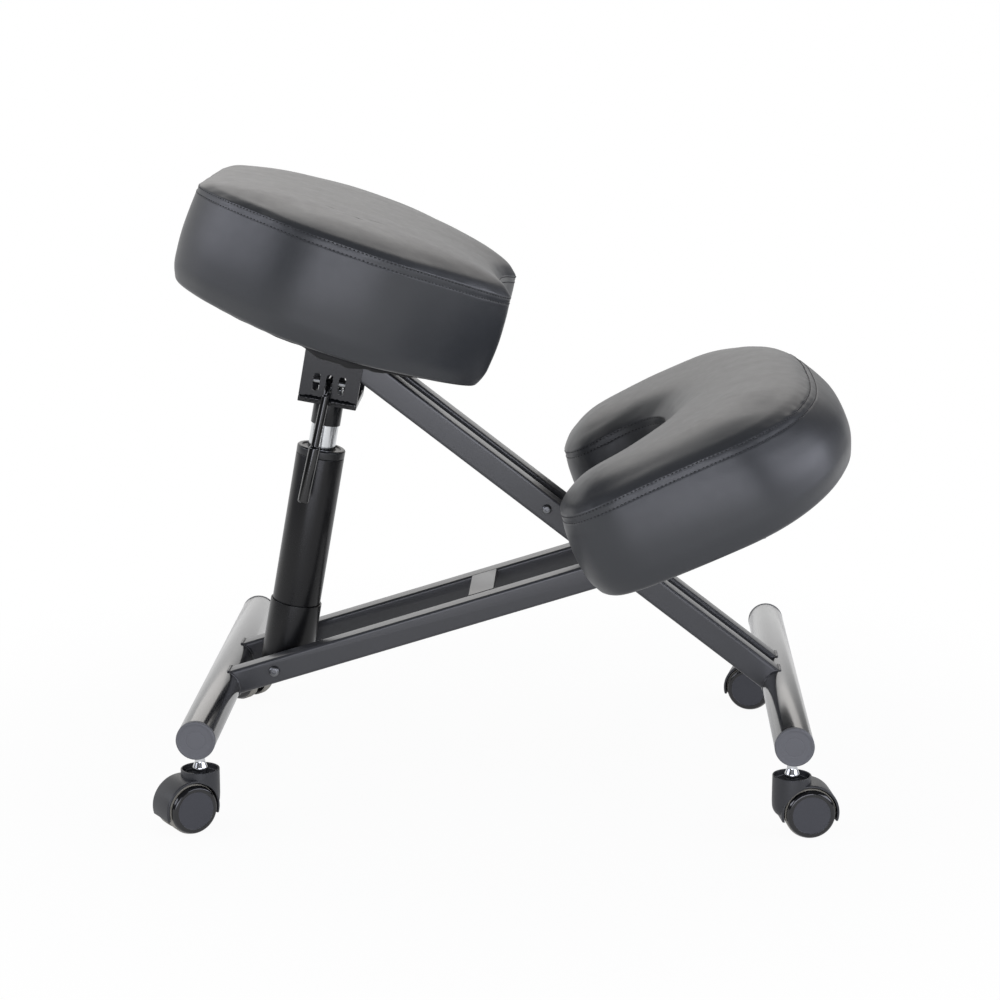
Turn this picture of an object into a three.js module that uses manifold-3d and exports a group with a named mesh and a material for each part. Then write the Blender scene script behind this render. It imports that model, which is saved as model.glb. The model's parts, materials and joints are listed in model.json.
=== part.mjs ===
// Kneeling chair on a scissor frame: a lower frame that carries the knee pad, an upper frame
// crossed through it, a gas spring that holds the seat bracket square to itself, and four
// hooded twin-wheel casters. Millimetres, +Z up, +X towards the knee pad, +Y across the chair.
// The origin lies on the floor under the middle of the whole chair.

import * as THREE from 'three';
import { mergeVertices } from 'three/addons/utils/BufferGeometryUtils.js';
import Module from 'manifold-3d';

const wasm = await Module();
wasm.setup();

// Stance of the scissor frame
const pivotArm = 368.7; // scissor pivot to spring pivot, and scissor pivot to seat pivot
const lowerRailAngle = 17.68;
const upperRailAngle = 37.46;
const tubeAxisHeight = 95.5;
const rearOverhang = 58.3; // spring pivot to the rear tube, along the lower rails
const rearTubeDrop = 1.6; // tube axis below the lower rails' centreline
const frontTubeDrop = 0.8;

// Base tubes and their end caps
const tubeDiameter = 38.1;
const tubeWall = 1.6;
const rearTubeLength = 466;
const frontTubeLength = 453;
const capFlange = 4.4;
const capLip = 0.8; // how far the cap's flange stands outside the tube
const capRim = 3.2;
const capDish = 0.7;
const capPlugDepth = 13;

// Rails: rectangular tube on edge
const railHeight = 26;
const railCorner = 2.6;
const railWall = 1.8;
const lowerRailInner = 41.1; // inner and outer faces, from the middle of the chair
const lowerRailOuter = 63.3;
const upperRailInner = 14;
const upperRailOuter = 37.4;
const kneeRailLength = 152; // scissor pivot to the front end of the lower rails

// Flat plate across the lower rails
const crossPlateDistance = 143; // behind the scissor pivot, to the plate's middle
const crossPlateLength = 27;
const crossPlateThickness = 4;

// Cross bolts
const pivotBoltDiameter = 10;
const tieBoltDiameter = 8;
const boltHeadSpread = 3.4; // head radius beyond the shank
const boltHeadHeight = 5;
const nutSpread = 3.6;
const nutHeight = 8;
const tieBoltDistance = 92; // behind the scissor pivot, along the upper rails
const spacerWall = 3;
const bushWall = 2;
const bushFlange = 4;

// Gas spring, from the seat pivot down its own axis
const springOffset = 5.9; // spring axis ahead of the line through its pivots
const columnDiameter = 50;
const columnWall = 2;
const columnTopDrop = 113.5;
const columnBottomLift = 17; // column's lower end above the spring pivot
const collarHeight = 9;
const sleeveDiameter = 53.4;
const sleeveWall = 1.4;
const sleeveRise = 61; // sleeve rim above the spring pivot
const sleeveDrop = 17;
const sleeveFloor = 3;
const cylinderDiameter = 28;
const cylinderClearance = 22.3; // cylinder's lower end above the column's floor, with the seat down
const cylinderTaper = 0.8; // radius lost over the seat in the socket
const cylinderTopDrop = 50;
const bushHeight = 60;
const pistonDiameter = 8;
const pistonBore = 8.6;
const pistonFootDiameter = 13;
const pistonFootHeight = 3;
const pistonReach = 175;
const valveDiameter = 7;

// Seat bracket, square to the gas spring
const bracketRear = 23; // behind the seat pivot
const bracketFront = 37;
const bracketPlate = 3;
const bracketBaseDrop = 56; // seat pivot to the base plate's upper face
const bracketBaseThickness = 6;
const bracketBaseOverhang = 2;
const flangeWidth = 22;
const flangeRear = 46;
const flangeFront = 54;
const socketDiameter = 30.5;
const socketDrop = 27;
const slotPitch = 13;
const slotWidth = 7;
const slotHeight = 18;

// Release lever and its hinge pin
const leverDiameter = 6;
const leverGripDiameter = 8.5;
const leverGripStart = 14; // below the elbow
const leverDrop = 40; // hinge axis below the seat pivot
const leverHingeInset = 33; // hinge axis from the middle of the chair
const leverPinDiameter = 5;
const leverPinReach = 22; // pin to each side of the spring axis
const leverHubDiameter = 8.6;
const leverHubLength = 12;
const leverElbow = 52;
const leverTail = 57.5;
const leverLength = 122;
const leverSweep = 5.5;
const earThickness = 3;
const earRadius = 3.6;
const valveGap = 0.4;

// Seat: board inside a padded cover
const seatLength = 331;
const seatWidth = 385;
const seatThickness = 98; // underside to the seam at the ends
const seatTilt = 9.81; // nose down, against the spring bracket
const seatPlaneHeight = 15.2; // seat pivot to the seat's underside
const seatSetback = 7.7; // pad's middle behind the seat pivot
const seatSeamArch = 9;
const seatCrown = 17;

// Knee pad: a horseshoe, open towards the seat
const kneeLength = 292;
const kneeWidth = 494;
const kneeThickness = 95;
const kneeTilt = 6.51; // steeper than the lower rails
const kneeAlong = 117.3; // scissor pivot to the middle of the pad's underside, along the rails
const kneeLift = 24.4; // and square to the rails
const kneeSeamArch = 0;
const kneeCrown = 18;

// Both pads
const padBottomRound = 18;
const padSideBulge = 4;
const seatSeamInset = 3;
const kneeSeamInset = 8;
const boardThickness = 12;
const boardMargin = 26;

// Knee bracket
const kneePlateLength = 72;
const kneePlateHalfWidth = 92;
const kneePlateThickness = 4;
const kneePlateCentre = 20; // ahead of the middle of the pad
const gussetThickness = 4;
const gussetOverlap = 15; // down the rails' outer faces
const gussetInset = 6;

// Upholstery screws
const screwDiameter = 6;
const screwHeadDiameter = 12;
const screwHeadHeight = 3;
const screwDepth = 10;
const seatScrewPlaces = [[-38, -50], [-38, 50], [46, -50], [46, 50]]; // from the seat pivot, along the seat
const kneeScrewPlaces = [[-2, -80], [-2, 80], [42, -80], [42, 80]]; // from the middle of the pad

// Casters
const wheelDiameter = 50;
const wheelOuterFace = 21; // from the middle of the caster
const wheelInnerFace = 5.6;
const wheelTreadWidth = 9;
const wheelShoulder = 0.9;
const wheelCapDiameter = 40.5;
const casterTrail = 16;
const hoodClearance = 1.4;
const hoodWall = 2.2;
const hoodHalfWidth = 16.5;
const hoodTipAngle = -16; // below the axle, on the trailing side
const cupDiameter = 38;
const cupTopHeight = 60;
const cupBottomHeight = 20;
const cupWall = 1.8;
const cupFloorHeight = 54;
const cupBossDiameter = 14;
const cupBossHeight = 58;
const webHalfWidth = 5;
const axleDiameter = 6;
const axleReach = 16.5;
const stemDiameter = 10;
const spigotDiameter = 7.2; // lower end of the stem, between the wheels
const stemFoot = 30; // height of the stem's lower end
const stemTop = 106;
const stemCollarDiameter = 15;
const stemCollarHeight = 9;
const rearStemInset = 25.5; // stem axis from the end of the tube's caps
const frontStemInset = 25;
const casterAngles = { rear_left: 144, rear_right: 216, front_left: 168, front_right: 8 };

// Fits between pieces
const seatGap = 0.3;
const boreClearance = 0.3;
const overrun = 6;

// Facets on round pieces
const coarse = 12;
const medium = 16;
const fine = 24;
const wheelFacets = 20;

// Finishes
const finishes = {
  paint: { color: 0x3c3d40, roughness: 0.42, metalness: 0.25 },
  gloss: { color: 0x1b1c1e, roughness: 0.22, metalness: 0.1 },
  plastic: { color: 0x2a2b2d, roughness: 0.55, metalness: 0 },
  cap: { color: 0x5c5d60, roughness: 0.6, metalness: 0 },
  tread: { color: 0x303133, roughness: 0.5, metalness: 0 },
  steel: { color: 0xc9cbcd, roughness: 0.22, metalness: 1 },
  cover: { color: 0x3a3d41, roughness: 0.48, metalness: 0 },
  board: { color: 0x8f6f4b, roughness: 0.8, metalness: 0 },
};

const radians = THREE.MathUtils.degToRad;

// Geometry helpers

function outward(geometry) {
  let welded = geometry.clone();
  for (const name of Object.keys(welded.attributes)) {
    if (name !== 'position') welded.deleteAttribute(name);
  }
  welded = mergeVertices(welded, 1e-3);
  const p = welded.attributes.position;
  const source = welded.index.array;
  const faces = [];
  let volume = 0;
  const a = new THREE.Vector3();
  const b = new THREE.Vector3();
  const c = new THREE.Vector3();
  for (let i = 0; i < source.length; i += 3) {
    const [i0, i1, i2] = [source[i], source[i + 1], source[i + 2]];
    if (i0 === i1 || i1 === i2 || i2 === i0) continue;
    faces.push(i0, i1, i2);
    a.fromBufferAttribute(p, i0);
    b.fromBufferAttribute(p, i1);
    c.fromBufferAttribute(p, i2);
    volume += a.dot(b.cross(c));
  }
  if (volume < 0) {
    for (let i = 0; i < faces.length; i += 3) [faces[i], faces[i + 1]] = [faces[i + 1], faces[i]];
  }
  welded.setIndex(faces);
  return welded;
}

function toManifold(geometry) {
  const g = outward(geometry);
  return new wasm.Manifold(new wasm.Mesh({
    numProp: 3,
    vertProperties: Float32Array.from(g.attributes.position.array),
    triVerts: Uint32Array.from(g.index.array),
  }));
}

function toGeometry(manifold) {
  const mesh = manifold.getMesh();
  const geometry = new THREE.BufferGeometry();
  geometry.setAttribute('position', new THREE.BufferAttribute(Float32Array.from(mesh.vertProperties), 3));
  geometry.setIndex(Array.from(mesh.triVerts));
  return geometry;
}

function cut(base, ...tools) {
  return toGeometry(tools.reduce((left, tool) => left.subtract(toManifold(tool)), toManifold(base)));
}

function join(...pieces) {
  return toGeometry(pieces.map(toManifold).reduce((left, right) => left.add(right)));
}

function common(base, tool) {
  return toGeometry(toManifold(base).intersect(toManifold(tool)));
}

// A closed profile of [radius, height] pairs, turned about Z
function turned(profile, segments) {
  const points = profile.map(([radius, height]) => new THREE.Vector2(radius, height));
  return new THREE.LatheGeometry(points, segments).rotateX(Math.PI / 2);
}

function ring(outerRadius, innerRadius, bottom, top, segments) {
  return turned([
    [innerRadius, bottom], [outerRadius, bottom], [outerRadius, top], [innerRadius, top],
    [innerRadius, bottom],
  ], segments);
}

function disc(radius, bottom, top, segments) {
  return turned([[0, bottom], [radius, bottom], [radius, top], [0, top]], segments);
}

// The same turned shapes, with their axis across the chair
function across(geometry) {
  return geometry.rotateX(-Math.PI / 2);
}

function block(x0, x1, y0, y1, z0, z1) {
  return new THREE.BoxGeometry(x1 - x0, y1 - y0, z1 - z0)
    .translate((x0 + x1) / 2, (y0 + y1) / 2, (z0 + z1) / 2);
}

// An outline in X and Z, given thickness across the chair from y0 to y1
function plate(outline, y0, y1) {
  const shape = new THREE.Shape(outline.map(([x, z]) => new THREE.Vector2(x, z)));
  return new THREE.ExtrudeGeometry(shape, { depth: y1 - y0, bevelEnabled: false })
    .rotateX(Math.PI / 2)
    .translate(0, y1, 0);
}

function roundedRectangle(x0, x1, y0, y1, radius, target = new THREE.Shape()) {
  target.moveTo(x0 + radius, y0);
  target.lineTo(x1 - radius, y0);
  target.absarc(x1 - radius, y0 + radius, radius, -Math.PI / 2, 0, false);
  target.lineTo(x1, y1 - radius);
  target.absarc(x1 - radius, y1 - radius, radius, 0, Math.PI / 2, false);
  target.lineTo(x0 + radius, y1);
  target.absarc(x0 + radius, y1 - radius, radius, Math.PI / 2, Math.PI, false);
  target.lineTo(x0, y0 + radius);
  target.absarc(x0 + radius, y0 + radius, radius, Math.PI, 1.5 * Math.PI, false);
  return target;
}

const alongX = new THREE.Matrix4().set(0, 0, 1, 0, 1, 0, 0, 0, 0, 1, 0, 0, 0, 0, 0, 1);

// Rectangular tube on edge, from x0 to x1, between the faces y0 and y1
function railTube(x0, x1, y0, y1) {
  const half = railHeight / 2;
  const shape = roundedRectangle(y0, y1, -half, half, railCorner);
  shape.holes.push(roundedRectangle(
    y0 + railWall, y1 - railWall, -half + railWall, half - railWall, railCorner - railWall, new THREE.Path(),
  ));
  return new THREE.ExtrudeGeometry(shape, { depth: x1 - x0, bevelEnabled: false, curveSegments: 2 })
    .applyMatrix4(alongX)
    .translate(x0, 0, 0);
}

// Bolt across the chair: domed head outside the near face, lock nut outside the far one
function crossBolt(diameter, nearFace, farFace) {
  const shank = diameter / 2;
  const head = shank + boltHeadSpread;
  const base = nearFace - seatGap;
  const nut = farFace + seatGap;
  const bolt = across(turned([
    [0, base - boltHeadHeight], [0.5 * head, base - 0.9 * boltHeadHeight],
    [0.86 * head, base - 0.55 * boltHeadHeight], [head, base - 0.1 * boltHeadHeight], [head, base],
    [shank, base], [shank, nut + 1.2 * nutHeight], [0, nut + 1.2 * nutHeight],
  ], medium));
  const hexagon = across(disc(shank + nutSpread, nut, nut + 0.75 * nutHeight, 6));
  const collar = across(disc(0.82 * (shank + nutSpread), nut, nut + nutHeight, medium));
  return join(bolt, hexagon, collar);
}

function crossHole(diameter, y0, y1) {
  return across(disc(diameter / 2 + boreClearance, y0, y1, medium));
}

function add(group, name, geometry, finish) {
  const mesh = new THREE.Mesh(outward(geometry), new THREE.MeshStandardMaterial(finishes[finish]));
  mesh.name = name;
  group.add(mesh);
  return mesh;
}

function frameAt(parent, x, z, turn) {
  const group = new THREE.Group();
  group.position.set(x, 0, z);
  group.rotation.y = radians(turn);
  parent.add(group);
  return group;
}

// Places worked out from the driving dimensions

const rearReach = pivotArm + rearOverhang;
const lowerTurn = radians(lowerRailAngle);
const upperTurn = radians(upperRailAngle);
const pivotHeight = tubeAxisHeight + rearReach * Math.sin(lowerTurn) + rearTubeDrop * Math.cos(lowerTurn);
const frontReach = (pivotHeight - tubeAxisHeight - frontTubeDrop * Math.cos(upperTurn)) / Math.sin(upperTurn);
const rearTubeX = -rearReach * Math.cos(lowerTurn) + rearTubeDrop * Math.sin(lowerTurn);
const frontTubeX = frontReach * Math.cos(upperTurn) - frontTubeDrop * Math.sin(upperTurn);
const springLean = (upperRailAngle - lowerRailAngle) / 2;
const springSpan = 2 * pivotArm * Math.sin((lowerTurn + upperTurn) / 2);
const tubeRadius = tubeDiameter / 2;

const chair = new THREE.Group();
const body = new THREE.Group();
chair.add(body);

const lowerFrame = frameAt(body, 0, pivotHeight, -lowerRailAngle);
const upperFrame = frameAt(body, 0, pivotHeight, upperRailAngle);
const seatPivotX = -pivotArm * Math.cos(upperTurn);
const seatPivotZ = pivotHeight + pivotArm * Math.sin(upperTurn);
const springFrame = frameAt(body, seatPivotX, seatPivotZ, springLean);
const seatFrame = frameAt(
  springFrame, seatPlaneHeight * Math.sin(radians(seatTilt)), seatPlaneHeight * Math.cos(radians(seatTilt)),
  seatTilt,
);
const kneeFrame = frameAt(lowerFrame, kneeAlong, kneeLift, -kneeTilt);

// Base tubes, drilled for the caster stems, and their end caps

function baseTube(length, stemY) {
  const tube = across(ring(tubeRadius, tubeRadius - tubeWall, -length / 2, length / 2, fine));
  const hole = () => disc(stemDiameter / 2 + boreClearance, -tubeRadius - overrun, 0, coarse);
  return cut(tube, hole().translate(0, stemY, 0), hole().translate(0, -stemY, 0));
}

function addEndCaps(parent, label, length) {
  const flange = tubeRadius + capLip;
  const plug = tubeRadius - tubeWall - seatGap;
  const cap = turned([
    [0, capFlange - capDish], [flange - capRim, capFlange - capDish], [flange - capRim + capDish, capFlange],
    [flange - capDish, capFlange], [flange, capFlange - capDish], [flange, 0], [plug, 0],
    [plug, -capPlugDepth], [0, -capPlugDepth],
  ], fine);
  const far = across(cap).translate(0, length / 2 + seatGap, 0);
  const near = far.clone().rotateZ(Math.PI);
  add(parent, `${label}_end_cap_left`, far, 'cap');
  add(parent, `${label}_end_cap_right`, near, 'cap');
}

function capEnd(length) {
  return length / 2 + seatGap + capFlange;
}

const rearStemY = capEnd(rearTubeLength) - rearStemInset;
const frontStemY = capEnd(frontTubeLength) - frontStemInset;
const rearTubeFrame = frameAt(body, rearTubeX, tubeAxisHeight, 0);
const frontTubeFrame = frameAt(body, frontTubeX, tubeAxisHeight, 0);
add(rearTubeFrame, 'rear_base_tube', baseTube(rearTubeLength, rearStemY), 'paint');
addEndCaps(rearTubeFrame, 'rear', rearTubeLength);
add(frontTubeFrame, 'front_base_tube', baseTube(frontTubeLength, frontStemY), 'paint');
addEndCaps(frontTubeFrame, 'front', frontTubeLength);

// Rails, coped over their tubes

function coping(x, drop) {
  return across(disc(tubeRadius + seatGap, -lowerRailOuter - overrun, lowerRailOuter + overrun, fine))
    .translate(x, 0, -drop);
}

function roundEnd(x) {
  const reach = railHeight / 2;
  const corner = block(x - reach - overrun, x, -lowerRailOuter, lowerRailOuter, -railHeight, railHeight);
  const keep = across(disc(reach, -lowerRailOuter - overrun, lowerRailOuter + overrun, fine))
    .translate(x, 0, 0);
  return cut(corner, keep);
}

for (const [side, label] of [[-1, 'right'], [1, 'left']]) {
  const [lower0, lower1] = side < 0 ? [-lowerRailOuter, -lowerRailInner] : [lowerRailInner, lowerRailOuter];
  const lowerHoles = [0, -pivotArm].map((x) => crossHole(
    pivotBoltDiameter, lower0 - overrun, lower1 + overrun,
  ).translate(x, 0, 0));
  const endPlate = block(
    kneeRailLength - railWall, kneeRailLength, lower0 + railCorner / 2, lower1 - railCorner / 2,
    (railCorner - railHeight) / 2, (railHeight - railCorner) / 2,
  );
  const lower = cut(
    join(railTube(-rearReach, kneeRailLength, lower0, lower1), endPlate),
    coping(-rearReach, rearTubeDrop), ...lowerHoles,
  );
  add(lowerFrame, `lower_rail_${label}`, lower, 'paint');

  const [upper0, upper1] = side < 0 ? [-upperRailOuter, -upperRailInner] : [upperRailInner, upperRailOuter];
  const upperHoles = [
    [0, pivotBoltDiameter + 2 * (boreClearance + bushWall)],
    [-pivotArm, pivotBoltDiameter],
    [-tieBoltDistance, tieBoltDiameter],
  ].map(([x, diameter]) => crossHole(diameter, upper0 - overrun, upper1 + overrun).translate(x, 0, 0));
  const upper = cut(
    railTube(-pivotArm - railHeight / 2, frontReach, upper0, upper1),
    coping(frontReach, frontTubeDrop), roundEnd(-pivotArm), ...upperHoles,
  );
  add(upperFrame, `upper_rail_${label}`, upper, 'paint');
}

const crossPlateEdge = lowerRailInner - seatGap;
add(lowerFrame, 'cross_plate', block(
  -crossPlateDistance - crossPlateLength / 2, -crossPlateDistance + crossPlateLength / 2,
  -crossPlateEdge, crossPlateEdge, railHeight / 2 - crossPlateThickness, railHeight / 2,
), 'paint');

// Scissor pivot, spring pivot and tie bolt

function spacer(diameter, y0, y1) {
  const bore = diameter / 2 + boreClearance;
  return across(ring(bore + spacerWall, bore, y0 + seatGap, y1 - seatGap, medium));
}

// Flanged bush: its sleeve runs through the upper rail to the middle, its flange parts the rails
function flangedBush() {
  const bore = pivotBoltDiameter / 2 + boreClearance;
  const sleeve = bore + bushWall;
  return across(turned([
    [bore, seatGap], [sleeve, seatGap], [sleeve, upperRailOuter + seatGap],
    [sleeve + bushFlange, upperRailOuter + seatGap], [sleeve + bushFlange, lowerRailInner - seatGap],
    [bore, lowerRailInner - seatGap], [bore, seatGap],
  ], medium));
}

add(lowerFrame, 'scissor_bolt', crossBolt(pivotBoltDiameter, -lowerRailOuter, lowerRailOuter), 'gloss');
add(upperFrame, 'scissor_bush_left', flangedBush(), 'plastic');
add(upperFrame, 'scissor_bush_right', flangedBush().rotateZ(Math.PI), 'plastic');

const springPivotFrame = frameAt(lowerFrame, -pivotArm, 0, 0);
const pivotSpacer = spacer(pivotBoltDiameter, sleeveDiameter / 2, lowerRailInner);
add(springPivotFrame, 'spring_pivot_bolt', crossBolt(
  pivotBoltDiameter, -lowerRailOuter, lowerRailOuter,
), 'gloss');
add(springPivotFrame, 'spring_pivot_spacer_left', pivotSpacer, 'plastic');
add(springPivotFrame, 'spring_pivot_spacer_right', pivotSpacer.clone().rotateZ(Math.PI), 'plastic');

const tieFrame = frameAt(upperFrame, -tieBoltDistance, 0, 0);
add(tieFrame, 'tie_bolt', crossBolt(tieBoltDiameter, -upperRailOuter, upperRailOuter), 'gloss');
add(tieFrame, 'tie_spacer', spacer(tieBoltDiameter, -upperRailInner, upperRailInner), 'steel');

// Gas spring: sleeve, column, guide bush, cylinder, piston rod and valve pin

const springPivot = -springSpan;
const columnBottom = springPivot + columnBottomLift;
const columnRadius = columnDiameter / 2;
const cylinderRadius = cylinderDiameter / 2;
const onSpring = (geometry) => geometry.translate(springOffset, 0, 0);

const sleeveRadius = sleeveDiameter / 2;
const sleeveFoot = springPivot - sleeveDrop;
const sleeveCup = onSpring(turned([
  [0, sleeveFoot], [sleeveRadius, sleeveFoot], [sleeveRadius, springPivot + sleeveRise],
  [sleeveRadius - sleeveWall, springPivot + sleeveRise],
  [sleeveRadius - sleeveWall, sleeveFoot + sleeveFloor], [0, sleeveFoot + sleeveFloor],
], fine));
add(springFrame, 'column_sleeve', cut(
  sleeveCup, crossHole(pivotBoltDiameter, -sleeveDiameter, sleeveDiameter).translate(0, 0, springPivot),
), 'paint');

const columnFloor = columnBottom + columnWall;
const collarFoot = -columnTopDrop - collarHeight;
add(springFrame, 'spring_column', onSpring(turned([
  [pistonBore / 2, columnBottom], [columnRadius, columnBottom], [columnRadius, collarFoot],
  [columnRadius - columnWall, collarFoot], [columnRadius - columnWall, columnFloor],
  [pistonBore / 2, columnFloor], [pistonBore / 2, columnBottom],
], fine)), 'paint');

const bushRadius = columnRadius - columnWall - seatGap;
const bushBottom = collarFoot - bushHeight;
add(springFrame, 'guide_bush', onSpring(turned([
  [cylinderRadius + boreClearance, bushBottom], [bushRadius, bushBottom],
  [bushRadius, collarFoot + seatGap], [columnRadius, collarFoot + seatGap],
  [columnRadius, -columnTopDrop - collarHeight / 4], [columnRadius - collarHeight / 4, -columnTopDrop],
  [cylinderRadius + boreClearance, -columnTopDrop], [cylinderRadius + boreClearance, bushBottom],
], fine)), 'plastic');

const cylinderTop = -cylinderTopDrop;
const cylinderBottom = columnFloor + cylinderClearance;
const socketBottom = -bracketBaseDrop - bracketBaseThickness - socketDrop;
add(springFrame, 'gas_cylinder', onSpring(turned([
  [pistonBore / 2, cylinderBottom], [cylinderRadius, cylinderBottom], [cylinderRadius, socketBottom],
  [cylinderRadius - cylinderTaper, cylinderTop], [valveDiameter / 2 + boreClearance, cylinderTop],
  [valveDiameter / 2 + boreClearance, 2 * cylinderTop], [pistonBore / 2, 2 * cylinderTop],
  [pistonBore / 2, cylinderBottom],
], fine)), 'steel');
const pistonFoot = columnBottom - seatGap - pistonFootHeight;
add(springFrame, 'piston_rod', onSpring(turned([
  [0, pistonFoot], [pistonFootDiameter / 2, pistonFoot],
  [pistonFootDiameter / 2, columnBottom - seatGap], [pistonDiameter / 2, columnBottom - seatGap],
  [pistonDiameter / 2, columnBottom + pistonReach], [0, columnBottom + pistonReach],
], coarse)), 'steel');

const leverUnderside = -leverDrop - leverDiameter / 2;
add(springFrame, 'valve_pin', onSpring(disc(
  valveDiameter / 2, cylinderTop - valveDiameter, leverUnderside - valveGap, coarse,
)), 'steel');

// Seat bracket: a base plate, the spring socket through it, and two slotted side plates

const sideInner = upperRailOuter + seatGap;
const sideOuter = sideInner + bracketPlate;
const baseTop = -bracketBaseDrop;
const baseHalf = sideOuter + bracketBaseOverhang;
const socketRadius = socketDiameter / 2;
const socketBore = onSpring(turned([
  [0, socketBottom - overrun], [cylinderRadius + seatGap / 2, socketBottom - overrun],
  [cylinderRadius + seatGap / 2, socketBottom],
  [cylinderRadius - cylinderTaper / 2 + seatGap / 2, baseTop + overrun], [0, baseTop + overrun],
], fine));
add(springFrame, 'bracket_base', cut(join(
  block(-bracketRear, bracketFront, -baseHalf, baseHalf, baseTop - bracketBaseThickness, baseTop),
  onSpring(disc(socketRadius, socketBottom, baseTop - bracketBaseThickness / 2, fine)),
), socketBore), 'paint');

const seatLean = radians(seatTilt);

function sidePlate(side) {
  const flangeDrop = seatPlaneHeight - seatGap - bracketPlate / 2;
  const topAt = (x) => (flangeDrop - x * Math.sin(seatLean)) / Math.cos(seatLean);
  const [y0, y1] = side < 0 ? [-sideOuter, -sideInner] : [sideInner, sideOuter];
  const web = plate([
    [-bracketRear, baseTop + seatGap], [bracketFront, baseTop + seatGap],
    [bracketFront, topAt(bracketFront)], [-bracketRear, topAt(-bracketRear)],
  ], y0, y1);
  const [f0, f1] = side < 0 ? [-sideInner - flangeWidth, -sideInner] : [sideInner, sideInner + flangeWidth];
  const flangeHoles = seatScrewPlaces.filter(([, y]) => y * side > 0).map(([x, y]) => disc(
    screwDiameter / 2 + boreClearance, -bracketPlate - overrun, overrun, coarse,
  ).translate(x, y, 0));
  const sheet = block(-flangeRear, flangeFront, f0, f1, -seatGap - bracketPlate, -seatGap);
  const flange = cut(sheet, ...flangeHoles)
    .rotateY(seatLean)
    .translate(seatFrame.position.x, 0, seatFrame.position.z);
  const slots = [-slotPitch, 0, slotPitch].map((x) => new THREE.ExtrudeGeometry(
    roundedRectangle(-slotWidth / 2, slotWidth / 2, -slotHeight / 2, slotHeight / 2, slotWidth / 3),
    { depth: bracketPlate + 2 * overrun, bevelEnabled: false, curveSegments: 2 },
  ).rotateX(Math.PI / 2).translate(springOffset + x, y1 + overrun, -leverDrop));
  const pivotHole = crossHole(pivotBoltDiameter, y0 - overrun, y1 + overrun);
  const plateWithHoles = cut(join(web, flange), ...slots, pivotHole);
  return side < 0 ? withEars(plateWithHoles) : plateWithHoles;
}

// Two small ears inside the near side plate hold the lever's hinge pin
function withEars(side) {
  const [low, high] = [-leverDrop - earRadius, -leverDrop + earRadius];
  const earAt = (x) => cut(
    join(
      block(x, x + earThickness, -sideInner - bracketPlate / 2, -leverHingeInset, low, high),
      disc(earRadius, 0, earThickness, coarse)
        .rotateY(Math.PI / 2).translate(x, -leverHingeInset, -leverDrop),
    ),
    disc(leverPinDiameter / 2 + boreClearance, -overrun, earThickness + overrun, coarse)
      .rotateY(Math.PI / 2).translate(x, -leverHingeInset, -leverDrop),
  );
  const rear = springOffset - leverPinReach + earThickness / 3;
  const front = springOffset + leverPinReach - earThickness - earThickness / 3;
  return join(side, earAt(rear), earAt(front));
}

add(springFrame, 'bracket_side_right', sidePlate(-1), 'paint');
add(springFrame, 'bracket_side_left', sidePlate(1), 'paint');
add(springFrame, 'seat_pivot_bolt', crossBolt(pivotBoltDiameter, -sideOuter, sideOuter), 'gloss');

// Release lever: a bent round bar on a hinge pin, its inner end over the valve

const leverFrame = new THREE.Group();
leverFrame.position.set(springOffset, 0, -leverDrop);
springFrame.add(leverFrame);

const elbow = new THREE.Vector3(0, -leverElbow, 0);
const tail = new THREE.Vector3(-leverSweep, -leverTail, -leverLength);

function leverBar() {
  const radius = leverDiameter / 2;
  const bend = leverElbow - sideOuter;
  const inner = new THREE.Vector3(0, radius, 0);
  const before = new THREE.Vector3(0, -leverElbow + bend, 0);
  const after = elbow.clone().lerp(tail, bend / elbow.distanceTo(tail));
  const corner = new THREE.QuadraticBezierCurve3(before, elbow, after);
  const section = new THREE.Shape().absarc(0, 0, radius, 0, 2 * Math.PI, false);
  const points = [inner, ...corner.getPoints(6), after.clone().lerp(tail, 0.9)];
  const bar = sweep(points, section.getPoints(3).slice(0, -1));
  const hub = disc(leverHubDiameter / 2, -leverHubLength / 2, leverHubLength / 2, coarse)
    .rotateY(Math.PI / 2).translate(0, -leverHingeInset, 0);
  const bore = disc(leverPinDiameter / 2 + boreClearance, -leverHubLength, leverHubLength, coarse)
    .rotateY(Math.PI / 2).translate(0, -leverHingeInset, 0);
  return cut(join(bar, hub, leverGrip()), bore);
}

// Dipped grip with a rounded end round the lever's hanging part
function leverGrip() {
  const length = elbow.distanceTo(tail) - leverGripStart;
  const radius = leverGripDiameter / 2;
  const along = tail.clone().sub(elbow).normalize();
  const start = elbow.clone().addScaledVector(along, leverGripStart);
  return turned([
    [0, 0], [0.8 * radius, 0], [radius, 0.3 * radius], [radius, length - radius],
    [0.86 * radius, length - 0.5 * radius], [0.5 * radius, length - 0.14 * radius], [0, length],
  ], coarse)
    .applyQuaternion(new THREE.Quaternion().setFromUnitVectors(new THREE.Vector3(0, 0, 1), along))
    .translate(start.x, start.y, start.z);
}

// A round section carried along a route of points, mitred at each point
function sweep(points, section) {
  const rings = points.map((point, i) => {
    const before = points[Math.max(i - 1, 0)];
    const after = points[Math.min(i + 1, points.length - 1)];
    const direction = after.clone().sub(before).normalize();
    const sideways = new THREE.Vector3(1, 0, 0).addScaledVector(direction, -direction.x).normalize();
    const third = new THREE.Vector3().crossVectors(direction, sideways);
    return section.map((p) => point.clone().addScaledVector(sideways, p.x).addScaledVector(third, p.y));
  });
  return lofted(rings);
}

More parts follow.
